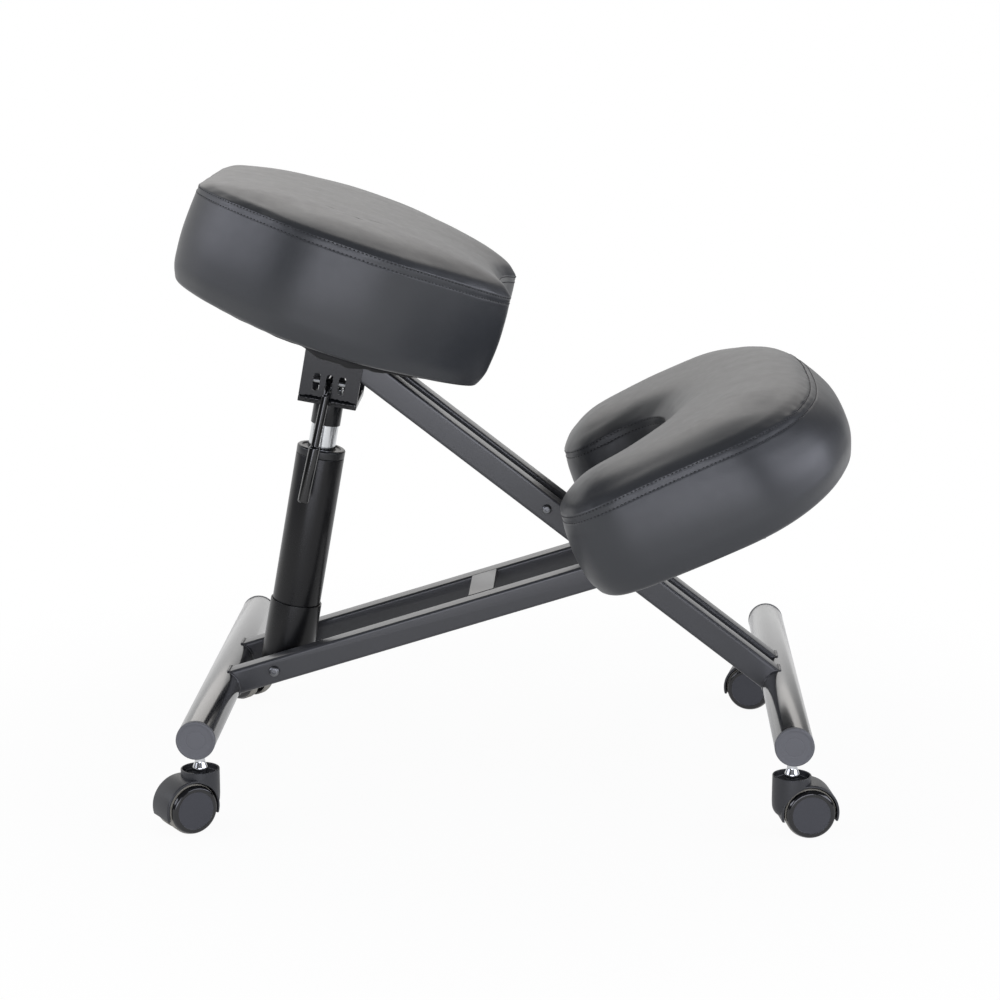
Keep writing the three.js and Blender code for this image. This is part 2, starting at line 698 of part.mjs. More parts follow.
// Closed skin over a row of rings with equal counts, with a flat fan at each end
function lofted(rings) {
  const count = rings[0].length;
  const positions = rings.flat().flatMap((p) => [p.x, p.y, p.z]);
  const faces = [];
  for (let k = 0; k + 1 < rings.length; k += 1) {
    for (let i = 0; i < count; i += 1) {
      const j = (i + 1) % count;
      const [a, b, c, d] = [k * count + i, k * count + j, (k + 1) * count + j, (k + 1) * count + i];
      faces.push(a, b, c, a, c, d);
    }
  }
  const last = (rings.length - 1) * count;
  for (let i = 1; i + 1 < count; i += 1) faces.push(0, i + 1, i, last, last + i, last + i + 1);
  const geometry = new THREE.BufferGeometry();
  geometry.setAttribute('position', new THREE.BufferAttribute(Float32Array.from(positions), 3));
  geometry.setIndex(faces);
  return geometry;
}

add(leverFrame, 'release_lever', leverBar(), 'gloss');
add(leverFrame, 'lever_pin', disc(leverPinDiameter / 2, -leverPinReach, leverPinReach, coarse)
  .rotateY(Math.PI / 2).translate(0, -leverHingeInset, 0), 'steel');

// Pads. Half outlines are shares of the half length and half width.

const seatOutlineShares = [
  [-1, 0], [-1, 0.26], [-0.982, 0.497], [-0.815, 0.705], [-0.612, 0.842], [-0.288, 0.985], [0.015, 1],
  [0.318, 0.942], [0.617, 0.768], [0.806, 0.637], [0.955, 0.49], [1, 0.4], [0.945, 0.25], [0.912, 0.12],
  [0.905, 0],
];
const kneeOuterShares = [
  [1, 0], [0.985, 0.3], [0.933, 0.52], [0.787, 0.76], [0.597, 0.9], [0.366, 0.975], [0, 1],
  [-0.4, 0.998], [-0.64, 0.98], [-0.83, 0.92], [-0.945, 0.8], [-0.985, 0.65],
];
const kneeNotchShares = [
  [-0.97, 0.47], [-0.86, 0.36], [-0.65, 0.325], [-0.43, 0.31], [-0.27, 0.25], [-0.19, 0.14], [-0.171, 0],
];
const kneeSpineShares = [[-0.52, 0.66], [-0.2, 0.66], [0.12, 0.62], [0.33, 0.46], [0.4, 0.22], [0.41, 0]];
const seatSpineShare = 0.42; // half length of the seat's spine in shares of its half width
const seatSamples = 56;
const kneeSamples = 80;
const crownShares = [0.95, 0.82, 0.62, 0.36, 0.14]; // rings from the seam towards the spine

function mirrored(half) {
  const otherSide = half.slice(1, -1).reverse().map(([u, w]) => [u, -w]);
  return [...half, ...otherSide];
}

function sampled(points, count, closed) {
  const curve = new THREE.CatmullRomCurve3(points.map(([u, w]) => new THREE.Vector3(u, w, 0)), closed);
  curve.arcLengthDivisions = 40 * points.length;
  return curve.getSpacedPoints(count);
}

function scaled(shares, length, width) {
  return shares.map(([u, w]) => [u * length / 2, w * width / 2]);
}

function nearestOn(line, point) {
  let best = line[0];
  for (let i = 0; i + 1 < line.length; i += 1) {
    const spot = new THREE.Line3(line[i], line[i + 1]).closestPointToPoint(point, true, new THREE.Vector3());
    if (spot.distanceTo(point) < best.distanceTo(point)) best = spot;
  }
  return best;
}

// The pad's widest outline, with each point's outward direction and its place on the spine
function padLoop(shares, spineShares, length, width, samples) {
  const points = sampled(scaled(mirrored(shares), length, width), samples, true).slice(0, -1);
  const half = scaled(spineShares, length, width);
  const spine = [...half, ...half.slice(0, -1).reverse().map(([u, w]) => [u, -w])]
    .map(([u, w]) => new THREE.Vector3(u, w, 0));
  return points.map((point, i) => {
    const before = points[(i + samples - 1) % samples];
    const after = points[(i + 1) % samples];
    const along = after.clone().sub(before).normalize();
    const side = new THREE.Vector3(along.y, -along.x, 0);
    return { point, side, spine: nearestOn(spine, point) };
  });
}

function facingOut(loop) {
  const area = loop.reduce((sum, { point }, i) => {
    const next = loop[(i + 1) % loop.length].point;
    return sum + point.x * next.y - next.x * point.y;
  }, 0);
  const turn = Math.sign(area);
  return loop.map(({ point, side, spine }) => ({ point, spine, side: side.multiplyScalar(turn) }));
}

const seatLoop = facingOut(padLoop(
  seatOutlineShares, [[-0.08, seatSpineShare], [-0.08, 0]], seatLength, seatWidth, seatSamples,
));
const kneeLoop = facingOut(padLoop(
  [...kneeOuterShares, ...kneeNotchShares], kneeSpineShares, kneeLength, kneeWidth, kneeSamples,
));

function inset(loop, distance, height) {
  return loop.map(({ point, side }) => point.clone().addScaledVector(side, -distance).setZ(height));
}

function towardsSpine(ringPoints, loop, share) {
  return ringPoints.map((p, i) => loop[i].spine.clone().lerp(p, share));
}

// Closed skin over rings with equal counts; both ends are flat-filled outlines of any shape
function capped(rings) {
  const count = rings[0].length;
  const positions = rings.flat().flatMap((p) => [p.x, p.y, p.z]);
  const faces = [];
  for (let k = 0; k + 1 < rings.length; k += 1) {
    for (let i = 0; i < count; i += 1) {
      const j = (i + 1) % count;
      const [a, b, c, d] = [k * count + i, k * count + j, (k + 1) * count + j, (k + 1) * count + i];
      faces.push(a, b, c, a, c, d);
    }
  }
  const flat = rings.map((ringPoints) => ringPoints.map((p) => new THREE.Vector2(p.x, p.y)));
  const fill = (k, upwards) => {
    for (const [a, b, c] of THREE.ShapeUtils.triangulateShape(flat[k].slice(), [])) {
      const isUp = THREE.ShapeUtils.area([flat[k][a], flat[k][b], flat[k][c]]) > 0;
      if (isUp === upwards) faces.push(k * count + a, k * count + b, k * count + c);
      else faces.push(k * count + a, k * count + c, k * count + b);
    }
  };
  const turnsLeft = THREE.ShapeUtils.area(flat[0]) > 0;
  fill(0, !turnsLeft);
  fill(rings.length - 1, turnsLeft);
  const geometry = new THREE.BufferGeometry();
  geometry.setAttribute('position', new THREE.BufferAttribute(Float32Array.from(positions), 3));
  geometry.setIndex(faces);
  return geometry;
}

// A padded cover: rounded foot, sides that draw in towards the seam, crowned top
function paddedForm(loop, length, thickness, seamInset, arch, crown) {
  const rise = (p) => arch * (1 - Math.min(1, (2 * p.x / length) ** 2));
  const rings = [0, 35, 65].map((angle) => inset(
    loop, padSideBulge + padBottomRound * (1 - Math.sin(radians(angle))),
    padBottomRound * (1 - Math.cos(radians(angle))),
  ));
  rings.push(inset(loop, padSideBulge, padBottomRound));
  rings.push(inset(loop, 0, thickness / 2));
  rings.push(inset(loop, seamInset / 3, 0.8 * thickness).map((p) => p.setZ(p.z + 0.8 * rise(p))));
  const seam = inset(loop, seamInset, thickness);
  rings.push(seam.map((p) => p.clone().setZ(thickness + rise(p))));
  for (const share of crownShares) {
    rings.push(towardsSpine(seam, loop, share).map((p) => p.setZ(
      thickness + rise(p) + crown * Math.sqrt(1 - share * share),
    )));
  }
  return capped(rings);
}

// The board keeps clear of the cover's edge all round; its pocket is a little wider
function boardForm(loop, spread, top) {
  const edge = inset(loop, padSideBulge + boardMargin - spread, 0).filter((point, i) => i % 2 === 0);
  return capped([edge.map((p) => p.clone().setZ(-spread * overrun)), edge.map((p) => p.clone().setZ(top))]);
}

function pad(frame, label, loop, form, screws) {
  const cover = paddedForm(loop, ...form);
  const pocket = boardForm(loop, seatGap, boardThickness + seatGap);
  const holes = screws.map(([x, y]) => disc(
    screwDiameter / 2 + boreClearance, -overrun, screwDepth + seatGap, coarse,
  ).translate(x, y, 0));
  add(frame, `${label}_cushion`, cut(cover, pocket), 'cover');
  add(frame, `${label}_board`, cut(boardForm(loop, 0, boardThickness), ...holes), 'board');
}

// Screws from below, their heads under a plate whose lower face is at plateFace
function addScrews(frame, label, screws, plateFace) {
  const seat = plateFace - seatGap;
  const shank = screwDiameter / 2;
  const head = screwHeadDiameter / 2;
  screws.forEach(([x, y], i) => {
    const screw = turned([
      [0, seat - screwHeadHeight], [0.7 * head, seat - screwHeadHeight], [head, seat - screwHeadHeight / 3],
      [head, seat], [shank, seat], [shank, screwDepth], [0, screwDepth],
    ], coarse).translate(x, y, 0);
    add(frame, `${label}_screw_${i + 1}`, screw, 'steel');
  });
}

const seatPadFrame = frameAt(seatFrame, -seatSetback, 0, 0);
const seatScrews = seatScrewPlaces.map(([x, y]) => [x + seatSetback, y]);
const seatForm = [seatLength, seatThickness, seatSeamInset, seatSeamArch, seatCrown];
const kneeForm = [kneeLength, kneeThickness, kneeSeamInset, kneeSeamArch, kneeCrown];
pad(seatPadFrame, 'seat', seatLoop, seatForm, seatScrews);
addScrews(seatPadFrame, 'seat', seatScrews, -seatGap - bracketPlate);
pad(kneeFrame, 'knee', kneeLoop, kneeForm, kneeScrewPlaces);
addScrews(kneeFrame, 'knee', kneeScrewPlaces, -seatGap - kneePlateThickness);

// Knee bracket: a plate under the board, on two gussets beside the rails

function kneeBracket() {
  const top = -seatGap;
  const bottom = top - kneePlateThickness;
  const [x0, x1] = [kneePlateCentre - kneePlateLength / 2, kneePlateCentre + kneePlateLength / 2];
  const sheet = cut(
    block(x0, x1, -kneePlateHalfWidth, kneePlateHalfWidth, bottom, top),
    ...kneeScrewPlaces.map(([x, y]) => disc(
      screwDiameter / 2 + boreClearance, bottom - overrun, overrun, coarse,
    ).translate(x, y, 0)),
  ).rotateY(-radians(kneeTilt)).translate(kneeAlong, 0, kneeLift);
  const edge = (x) => {
    const height = (bottom + top) / 2;
    const lean = radians(kneeTilt);
    return [
      kneeAlong + x * Math.cos(lean) - height * Math.sin(lean),
      kneeLift + x * Math.sin(lean) + height * Math.cos(lean),
    ];
  };
  const foot = railHeight / 2 - gussetOverlap;
  const [rear, front] = [edge(x0 + gussetInset), edge(x1 - gussetInset)];
  const outline = [[rear[0] + gussetInset, foot], [front[0] - gussetInset, foot], front, rear];
  const inner = lowerRailOuter + seatGap;
  return join(
    sheet, plate(outline, inner, inner + gussetThickness), plate(outline, -inner - gussetThickness, -inner),
  );
}

add(lowerFrame, 'knee_bracket', kneeBracket(), 'paint');

// Casters

const wheelRadius = wheelDiameter / 2;
const hoodInner = wheelRadius + hoodClearance;
const hoodOuter = hoodInner + hoodWall;
const spigotRadius = spigotDiameter / 2;

function casterHousing() {
  const cup = cupDiameter / 2;
  const boss = cupBossDiameter / 2;
  const barrel = turned([
    [0, cupBottomHeight], [0.8 * cup, cupBottomHeight], [0.97 * cup, cupBottomHeight + cup / 4],
    [cup, cupBottomHeight + cup / 2], [cup, cupTopHeight], [cup - cupWall, cupTopHeight],
    [cup - cupWall, cupFloorHeight], [boss, cupFloorHeight], [boss, cupBossHeight], [0, cupBossHeight],
  ], medium);
  const socket = disc(spigotRadius + boreClearance, stemFoot - seatGap, cupTopHeight, coarse);
  const tipHeight = wheelRadius + hoodOuter * Math.sin(radians(hoodTipAngle));
  const hood = common(
    across(disc(hoodOuter, -hoodHalfWidth, hoodHalfWidth, fine)).translate(casterTrail, 0, wheelRadius),
    block(-wheelDiameter, wheelDiameter, -wheelDiameter, wheelDiameter, tipHeight, 2 * wheelDiameter),
  );
  const room = (y0, y1) => across(disc(hoodInner, y0, y1, fine)).translate(casterTrail, 0, wheelRadius);
  const axle = across(disc(axleDiameter / 2, -axleReach, axleReach, coarse))
    .translate(casterTrail, 0, wheelRadius);
  const shell = cut(
    join(barrel, hood), room(webHalfWidth, wheelDiameter), room(-wheelDiameter, -webHalfWidth), socket,
  );
  return join(shell, axle);
}

function wheel() {
  const bore = axleDiameter / 2 + boreClearance;
  const tread = wheelInnerFace + wheelTreadWidth;
  const shoulder = wheelRadius - wheelShoulder;
  const cap = wheelCapDiameter / 2;
  return across(turned([
    [bore, wheelInnerFace], [shoulder, wheelInnerFace], [wheelRadius, wheelInnerFace + wheelShoulder],
    [wheelRadius, tread], [shoulder, tread + wheelShoulder], [shoulder, tread + 2 * wheelShoulder],
    [cap, wheelOuterFace],
    [0, wheelOuterFace], [0, axleReach + seatGap], [bore, axleReach + seatGap], [bore, wheelInnerFace],
  ], wheelFacets).rotateZ(Math.PI / 2 + Math.PI / wheelFacets));
}

function casterStem() {
  const collarBase = cupBossHeight + seatGap;
  return turned([
    [0, stemFoot], [spigotRadius, stemFoot], [spigotRadius, collarBase],
    [stemCollarDiameter / 2, collarBase], [stemCollarDiameter / 2, collarBase + stemCollarHeight / 3],
    [stemDiameter / 2, collarBase + stemCollarHeight],
    [stemDiameter / 2, stemTop - stemDiameter / 8], [0.38 * stemDiameter, stemTop], [0, stemTop],
  ], coarse);
}

function addCaster(label, x, y) {
  const place = new THREE.Group();
  place.position.set(x, y, 0);
  body.add(place);
  add(place, `${label}_caster_stem`, casterStem(), 'steel');
  const turning = new THREE.Group();
  turning.rotation.z = radians(casterAngles[label]);
  place.add(turning);
  add(turning, `${label}_caster_housing`, casterHousing(), 'gloss');
  const wheels = new THREE.Group();
  wheels.position.set(casterTrail, 0, wheelRadius);
  turning.add(wheels);
  add(wheels, `${label}_wheel_a`, wheel(), 'tread');
  add(wheels, `${label}_wheel_b`, wheel().rotateZ(Math.PI), 'tread');
}

addCaster('rear_left', rearTubeX, rearStemY);
addCaster('rear_right', rearTubeX, -rearStemY);
addCaster('front_left', frontTubeX, frontStemY);
addCaster('front_right', frontTubeX, -frontStemY);

// The origin goes under the middle of the whole chair
chair.updateMatrixWorld(true);
const bounds = new THREE.Box3().setFromObject(chair, true);
const middle = bounds.getCenter(new THREE.Vector3());
body.position.set(-middle.x, -middle.y, -bounds.min.z);

export default chair;
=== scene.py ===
"""Looks of a kneeling chair: charcoal pads, gloss black steel frame, gas spring and hooded casters."""

import json
import math

import bmesh
import bpy
from bpy.props import FloatProperty, FloatVectorProperty, PointerProperty, StringProperty
from bpy.types import Operator, Panel, PropertyGroup
from mathutils import Matrix, Vector, noise


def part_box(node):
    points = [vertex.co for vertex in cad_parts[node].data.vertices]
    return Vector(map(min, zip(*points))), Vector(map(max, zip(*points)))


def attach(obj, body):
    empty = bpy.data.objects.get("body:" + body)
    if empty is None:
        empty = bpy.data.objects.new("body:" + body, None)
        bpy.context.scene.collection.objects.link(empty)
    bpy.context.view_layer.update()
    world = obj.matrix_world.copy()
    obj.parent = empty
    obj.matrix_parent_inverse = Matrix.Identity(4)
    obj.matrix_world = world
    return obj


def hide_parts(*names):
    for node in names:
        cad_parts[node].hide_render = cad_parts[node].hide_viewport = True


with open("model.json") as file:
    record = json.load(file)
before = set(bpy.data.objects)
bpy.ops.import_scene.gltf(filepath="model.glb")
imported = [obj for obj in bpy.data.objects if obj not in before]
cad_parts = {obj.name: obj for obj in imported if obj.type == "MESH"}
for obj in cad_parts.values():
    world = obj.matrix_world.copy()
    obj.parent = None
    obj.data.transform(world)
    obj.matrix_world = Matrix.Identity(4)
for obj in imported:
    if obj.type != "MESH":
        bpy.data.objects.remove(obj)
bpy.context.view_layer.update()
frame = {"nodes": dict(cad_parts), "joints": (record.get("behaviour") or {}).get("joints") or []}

bl_info = {
    "name": "Kneeling chair finish",
    "version": (1, 0, 0),
    "blender": (4, 5, 0),
    "location": "3D View > Sidebar > Chair",
    "description": "Dresses the packed frame of a kneeling chair with its finished surfaces",
    "category": "Object",
}

MM = 0.001


def joint_place(name):
    found = [joint for joint in frame["joints"] if joint["name"] == name]
    if not found:
        raise RuntimeError(f"the frame has no joint named {name}")
    return Vector(found[0]["pos_m"])


# Each group of pieces is modelled in the frame of the piece that carries it, in millimetres, and
# brought into the row's frame by one matrix: a turn about Y and a move to its pivot.

def placed(origin, turn):
    return Matrix.Translation(origin) @ Matrix.Rotation(math.radians(turn), 4, "Y") @ Matrix.Scale(MM, 4)


SCISSOR = joint_place("scissor")
SPRING_PIVOT = joint_place("column_pivot")
SEAT_PIVOT = joint_place("seat_pivot")
LOWER_RAIL_ANGLE = 17.68
UPPER_RAIL_ANGLE = 37.46
SPRING_LEAN = 9.89
SEAT_TILT = 19.70
KNEE_TILT = 24.19
# the middle of each pad's underside, in metres
SEAT_UNDERSIDE = Vector((-0.18277, 0, 0.467549))
KNEE_UNDERSIDE = Vector((0.216371, 0, 0.285268))
LOWER_FRAME = placed(SCISSOR, -LOWER_RAIL_ANGLE)
UPPER_FRAME = placed(SCISSOR, UPPER_RAIL_ANGLE)
SPRING_FRAME = placed(SEAT_PIVOT, SPRING_LEAN)
SEAT_FRAME = placed(SEAT_UNDERSIDE, SEAT_TILT)
KNEE_FRAME = placed(KNEE_UNDERSIDE, -KNEE_TILT)


class ChairSizes(PropertyGroup):
    tube_diameter: FloatProperty(
        name="Base tube diameter", description="Outside diameter of the two base tubes",
        default=38.1 * MM, unit="LENGTH")
    rail_height: FloatProperty(
        name="Rail height", description="Height of the rectangular rails", default=26 * MM, unit="LENGTH")
    column_diameter: FloatProperty(
        name="Column diameter", description="Outside diameter of the gas spring's column",
        default=50 * MM, unit="LENGTH")
    wheel_diameter: FloatProperty(
        name="Wheel diameter", description="Diameter of the caster wheels", default=50 * MM, unit="LENGTH")
    grain: FloatProperty(
        name="Grain", description="Width of one pebble of the cover's grain", default=1.1 * MM, unit="LENGTH")
    stitch: FloatProperty(
        name="Stitch", description="Length of one stitch and the gap after it", default=4.2 * MM, unit="LENGTH")
    padding: FloatProperty(
        name="Padding", description="How tight the foam fills its cover, 0 slack and 1 tight",
        default=0.8, min=0, max=1, subtype="FACTOR")


class ChairColours(PropertyGroup):
    cover: StringProperty(name="Cover", description="Imitation leather of both pads", default="#2A2C2F")
    # thread darker than the cover: partly the thread's own dark, partly painted shade of the needle holes
    thread: StringProperty(name="Thread", description="Sewing thread of the pads", default="#1B1C1F")
    lining: StringProperty(name="Lining", description="Cloth under the pads", default="#1C1D1F")
    paint: StringProperty(name="Paint", description="Powder coat of the frame", default="#303134")
    cap: StringProperty(name="End caps", description="Moulded caps of the base tubes", default="#58595D")
    moulding: StringProperty(name="Moulding", description="Hoods of the casters", default="#292A2D")
    wheel: StringProperty(name="Wheel", description="Wheels of the casters", default="#34353A")


class StageSettings(PropertyGroup):
    camera_place: FloatVectorProperty(
        name="Camera place", description="Where the camera stands", default=(0.09019, -2.59613, 0.87234),
        subtype="TRANSLATION", unit="LENGTH")
    camera_turn: FloatProperty(
        name="Camera turn", description="Camera's turn to the left", default=math.radians(2.214), subtype="ANGLE")
    camera_pitch: FloatProperty(
        name="Camera pitch", description="How far the camera looks down", default=math.radians(12.782),
        subtype="ANGLE")
    camera_roll: FloatProperty(
        name="Camera roll", description="Camera's roll", default=math.radians(0.141), subtype="ANGLE")
    lens: FloatProperty(name="Lens", description="Focal length in millimetres", default=92.82)
    backdrop: StringProperty(name="Backdrop", description="Floor and background", default="#FFFFFF")


def sizes():
    return bpy.context.scene.chair_sizes


def colours():
    return bpy.context.scene.chair_colours


# Materials

def linear(hex_colour):
    channels = [int(hex_colour[i:i + 2], 16) / 255 for i in (1, 3, 5)]
    return [c / 12.92 if c <= 0.04045 else ((c + 0.055) / 1.055) ** 2.4 for c in channels] + [1]


def feed(tree, node, **inputs):
    """Gives a node its inputs, by name or as i and a number: a socket is linked, any other value is set."""
    for key, value in inputs.items():
        numbered = key[0] == "i" and key[1:].isdigit()
        socket = node.inputs[int(key[1:]) if numbered else key.replace("_", " ")]
        if isinstance(value, bpy.types.NodeSocket):
            tree.links.new(value, socket)
        else:
            socket.default_value = value
    return node


def add_node(tree, kind, settings=None, **inputs):
    """Adds a node with its own options, and with values or links for its inputs."""
    node = tree.nodes.new(kind)
    for option, value in (settings or {}).items():
        setattr(node, option, value)
    return feed(tree, node, **inputs)


NOISE, CELLS, WAVES = "ShaderNodeTexNoise", "ShaderNodeTexVoronoi", "ShaderNodeTexWave"


def gloss_enamel(name, colour, coat, ior, low, high):
    """Stoved gloss enamel: deep black with mirror-like edges and a faint orange peel."""
    return {
        "name": name, "slot": "frame_paint", "colour": colour, "tint": ("dust", 0.1),
        "textures": {"peel": (NOISE, 3.5, {"Detail": 1}), "dust": (NOISE, 30, {"Detail": 4})},
        "rough": ("dust", low, high), "relief": [("peel", 0.04, 0.4)],
        "shader": {"IOR": ior, "Coat_Weight": coat, "Coat_Roughness": 0.7 * low}}


def moulded(name, slot, colour, low, high, grit=0.5, depth=0.03, coat=0.0):
    """Moulded plastic: even colour, with a spark-eroded texture of the given grit in millimetres."""
    return {
        "name": name, "slot": slot, "colour": colour, "tint": ("drift", 0.06),
        "textures": {"grit": (NOISE, grit, {"Detail": 2}), "drift": (NOISE, 25, {"Detail": 3})},
        "rough": ("drift", low, high), "relief": [("grit", depth, 0.6)],
        "shader": {"IOR": 1.5, "Coat_Weight": coat, "Coat_Roughness": 0.08}}


# A finish has its material's name, the record's slot, and its colour, which is the name of one of the chair's
# colours or its own. A texture is its kind, the width of one blob or cell in millimetres, its inputs and its
# options. The tint is how far the colour drifts with a texture, the roughness is fixed or drifts from low to
# high, and relief is a list of textures with their depth in millimetres and their strength, coarse first.
FINISHES = {
    # PU-coated cloth, embossed: a satin skin whose pebbles only catch the light at grazing angles
    "cover": {
        "name": "pu_imitation_leather", "slot": "upholstery", "colour": "cover", "tint": ("tone", 0.1),
        "textures": {
            "pebbles": (CELLS, "grain", {"Smoothness": 0.6}, {"feature": "SMOOTH_F1"}),
            "creases": (NOISE, 22, {"Detail": 4}), "tone": (NOISE, 60, {"Detail": 2}),
            "wear": (NOISE, 9, {"Detail": 3})},
        "rough": ("wear", 0.36, 0.44), "relief": [("creases", 0.5, 0.25), ("pebbles", 0.05, 0.35)],
        "shader": {"IOR": 1.55}},
    # bonded polyester thread: two twisted plies, coloured darker than the cover, partly the thread's own dark and
    # partly painted shade of the needle holes
    "thread": {
        "name": "thread_painted_hole_shade", "slot": "upholstery", "colour": "thread", "tint": ("ply", 0.2),
        "textures": {"ply": (WAVES, 1 / 1.4, {}, {"bands_direction": "DIAGONAL"})},
        "rough": 0.42, "relief": [("ply", 0.1, 0.5)]},
    # spunbonded polypropylene under the pads: a dull felt with pressed dots
    "lining": {
        "name": "spunbonded_lining", "colour": "lining", "tint": ("fibres", 0.35),
        "textures": {"dots": (CELLS, 1.6, {"Randomness": 0.2}), "fibres": (NOISE, 0.7, {"Detail": 5})},
        "rough": 0.92, "relief": [("dots", 0.25, 0.5), ("fibres", 0.1, 0.5)]},
    # turned-in edge of the lining: dull folds coloured near black, partly the cloth's own black and partly painted
    # shadow under the seat beside the bracket
    "piping": moulded("black_cloth_painted_shadow", "upholstery", "#040405", 0.6, 0.72, 1.2, 0.15),
    # gloss black powder coat on the rails: faint orange peel, soft wide reflections
    "paint": {
        "name": "black_powder_coat", "slot": "frame_paint", "colour": "paint", "tint": ("dust", 0.08),
        "textures": {"peel": (NOISE, 1.8, {"Detail": 2}), "dust": (NOISE, 35, {"Detail": 4})},
        "rough": ("dust", 0.27, 0.36), "relief": [("peel", 0.06, 0.5)],
        "shader": {"IOR": 1.5, "Coat_Weight": 0.25, "Coat_Roughness": 0.16}},
    # two coats on the base tubes, which mirror the bright room along their tops
    "enamel": gloss_enamel("stoved_enamel", "#1A1B1D", 0.8, 1.5, 0.18, 0.24),
    # one thin coat on the gas spring's column, its colour painted near black, far darker than the rails', as painted
    # shade where it faces the viewer
    "lacquer": gloss_enamel("column_lacquer_painted_shade", "#0A0A0C", 0, 1.4, 0.25, 0.31),
    # heavy coat on the seat's bracket, run over its welds, wetter at the edges; its colour is painted darker than the
    # rails' as painted shade under the seat and in its slots
    "bracket": gloss_enamel("bracket_enamel_painted_shade", "#0F1012", 0, 1.42, 0.17, 0.25),
    # dipped vinyl on the lever: black, with one sharp streak of light along it
    "dipped": moulded("dipped_vinyl", "black_steel", "#0A0A0B", 0.10, 0.16, 1.5, 0.01, 0.3),
    # bolt heads worn back to the steel: mid grey, with a dull turned shine and dark pits
    "burnished": {
        "name": "burnished_steel", "slot": "black_steel", "colour": "#77787A", "tint": ("wear", 0.35),
        "textures": {"wear": (NOISE, 2.5, {"Detail": 5, "Roughness": 0.7})},
        "rough": ("wear", 0.3, 0.5), "relief": [("wear", 0.03, 0.5)], "shader": {"Metallic": 1}},
    # chromed steel of the gas cylinder and the caster stems: bright, with fine turned lines
    "chrome": {
        "name": "chromed_steel", "slot": "bright_steel", "colour": "#D2D4D6", "tint": ("lines", 0.06),
        "stretch": (0.08, 0.08, 2.6), "textures": {"lines": (NOISE, 1, {"Detail": 3})},
        "rough": ("lines", 0.12, 0.24), "relief": [("lines", 0.01, 0.4)], "shader": {"Metallic": 1}},
    # zinc-plated screws and pins: dull silver with a cloudy passivation
    "zinc": {
        "name": "zinc_plated_steel", "colour": "#A9ABAA", "tint": ("cloud", 0.15),
        "textures": {"cloud": (NOISE, 4, {"Detail": 4})},
        "rough": ("cloud", 0.3, 0.5), "relief": [("cloud", 0.02, 0.5)], "shader": {"Metallic": 1}},
    # polyethylene caps: grey where the mould's texture scatters the light
    "cap": moulded("moulded_polyethylene", "end_cap_plastic", "cap", 0.52, 0.64, 0.6, 0.05),
    # nylon hoods: near black, satin
    "hood": moulded("moulded_nylon", "caster_plastic", "moulding", 0.34, 0.44),
    # polished nylon rim of the wheels: sharp window-like highlights
    "rim": moulded("polished_nylon", "wheel_plastic", "#101012", 0.10, 0.16, 0.5, 0.005, 0.3),
    # matte disc of the wheels
    "disc": moulded("textured_nylon", "wheel_plastic", "wheel", 0.50, 0.60, 0.5, 0.05),
    # grey polyurethane tread ring of the wheels
    "tread": moulded("grey_polyurethane", "wheel_plastic", "#8E8B82", 0.45, 0.55, 0.5, 0.02),
    # self-lubricating acetal bushes and spacers: satin black
    "acetal": moulded("black_acetal", "bush_plastic", "#131416", 0.28, 0.36, 0.4, 0.01),
}
COLOUR_RESULT = 2
MADE = {}


def finish_of(label):
    """The procedural material of a finish, made once, on coordinates in millimetres of the object at rest."""
    if label in MADE:
        return MADE[label]
    finish = FINISHES[label]
    material = bpy.data.materials.new(finish["name"])
    material.use_nodes = True
    tree = material.node_tree
    place = add_node(tree, "ShaderNodeTexCoord").outputs["Object"]
    place = add_node(
        tree, "ShaderNodeVectorMath", {"operation": "SCALE"}, Vector=place, Scale=1 / MM).outputs["Vector"]
    if "stretch" in finish:
        place = add_node(
            tree, "ShaderNodeVectorMath", {"operation": "MULTIPLY"}, i0=place, i1=finish["stretch"]).outputs["Vector"]
    textures = {}
    for name, (kind, width, inputs, *options) in finish["textures"].items():
        width = getattr(sizes(), width) / MM if isinstance(width, str) else width
        texture = add_node(tree, kind, *options, Vector=place, Scale=1 / width, **inputs)
        textures[name] = texture.outputs["Distance" if kind == CELLS else "Fac"]
    colour = finish["colour"]
    tone = linear(colour if colour[0] == "#" else getattr(colours(), colour))[:3]
    driver, amount = finish["tint"]
    mix = add_node(
        tree, "ShaderNodeMix", {"data_type": "RGBA"}, Factor=textures[driver],
        i6=[c * (1 - amount) for c in tone] + [1], i7=[min(1, c * (1 + amount)) for c in tone] + [1])
    rough = finish["rough"]
    if isinstance(rough, tuple):
        name, low, high = rough
        rough = add_node(
            tree, "ShaderNodeMapRange", Value=textures[name], To_Min=low, To_Max=high).outputs["Result"]
    below = {}
    for name, depth, strength in finish["relief"]:
        bump = add_node(
            tree, "ShaderNodeBump", Height=textures[name], Distance=depth * MM, Strength=strength, **below)
        below = {"Normal": bump.outputs["Normal"]}
    feed(
        tree, tree.nodes["Principled BSDF"], Base_Color=mix.outputs[COLOUR_RESULT], Roughness=rough, **below,
        **finish.get("shader", {}))
    MADE[label] = material
    return material


# Mesh tools. Profiles and outlines are in millimetres.

def fillet(corners, radius, steps=4, closed=False):
    """Rounds the corners of an outline. A radius may be one number, or one per corner."""
    count = len(corners)
    result = []
    for i, corner in enumerate(corners):
        size = radius[i] if isinstance(radius, (list, tuple)) else radius
        here = Vector(corner)
        if size <= 0 or (not closed and i in (0, count - 1)):
            result.append(tuple(here))
            continue
        before = Vector(corners[i - 1]) - here
        after = Vector(corners[(i + 1) % count]) - here
        reach = min(size, 0.45 * before.length, 0.45 * after.length)
        start = here + before.normalized() * reach
        end = here + after.normalized() * reach
        for step in range(steps + 1):
            t = step / steps
            result.append(tuple((1 - t) ** 2 * start + 2 * t * (1 - t) * here + t ** 2 * end))
    return result


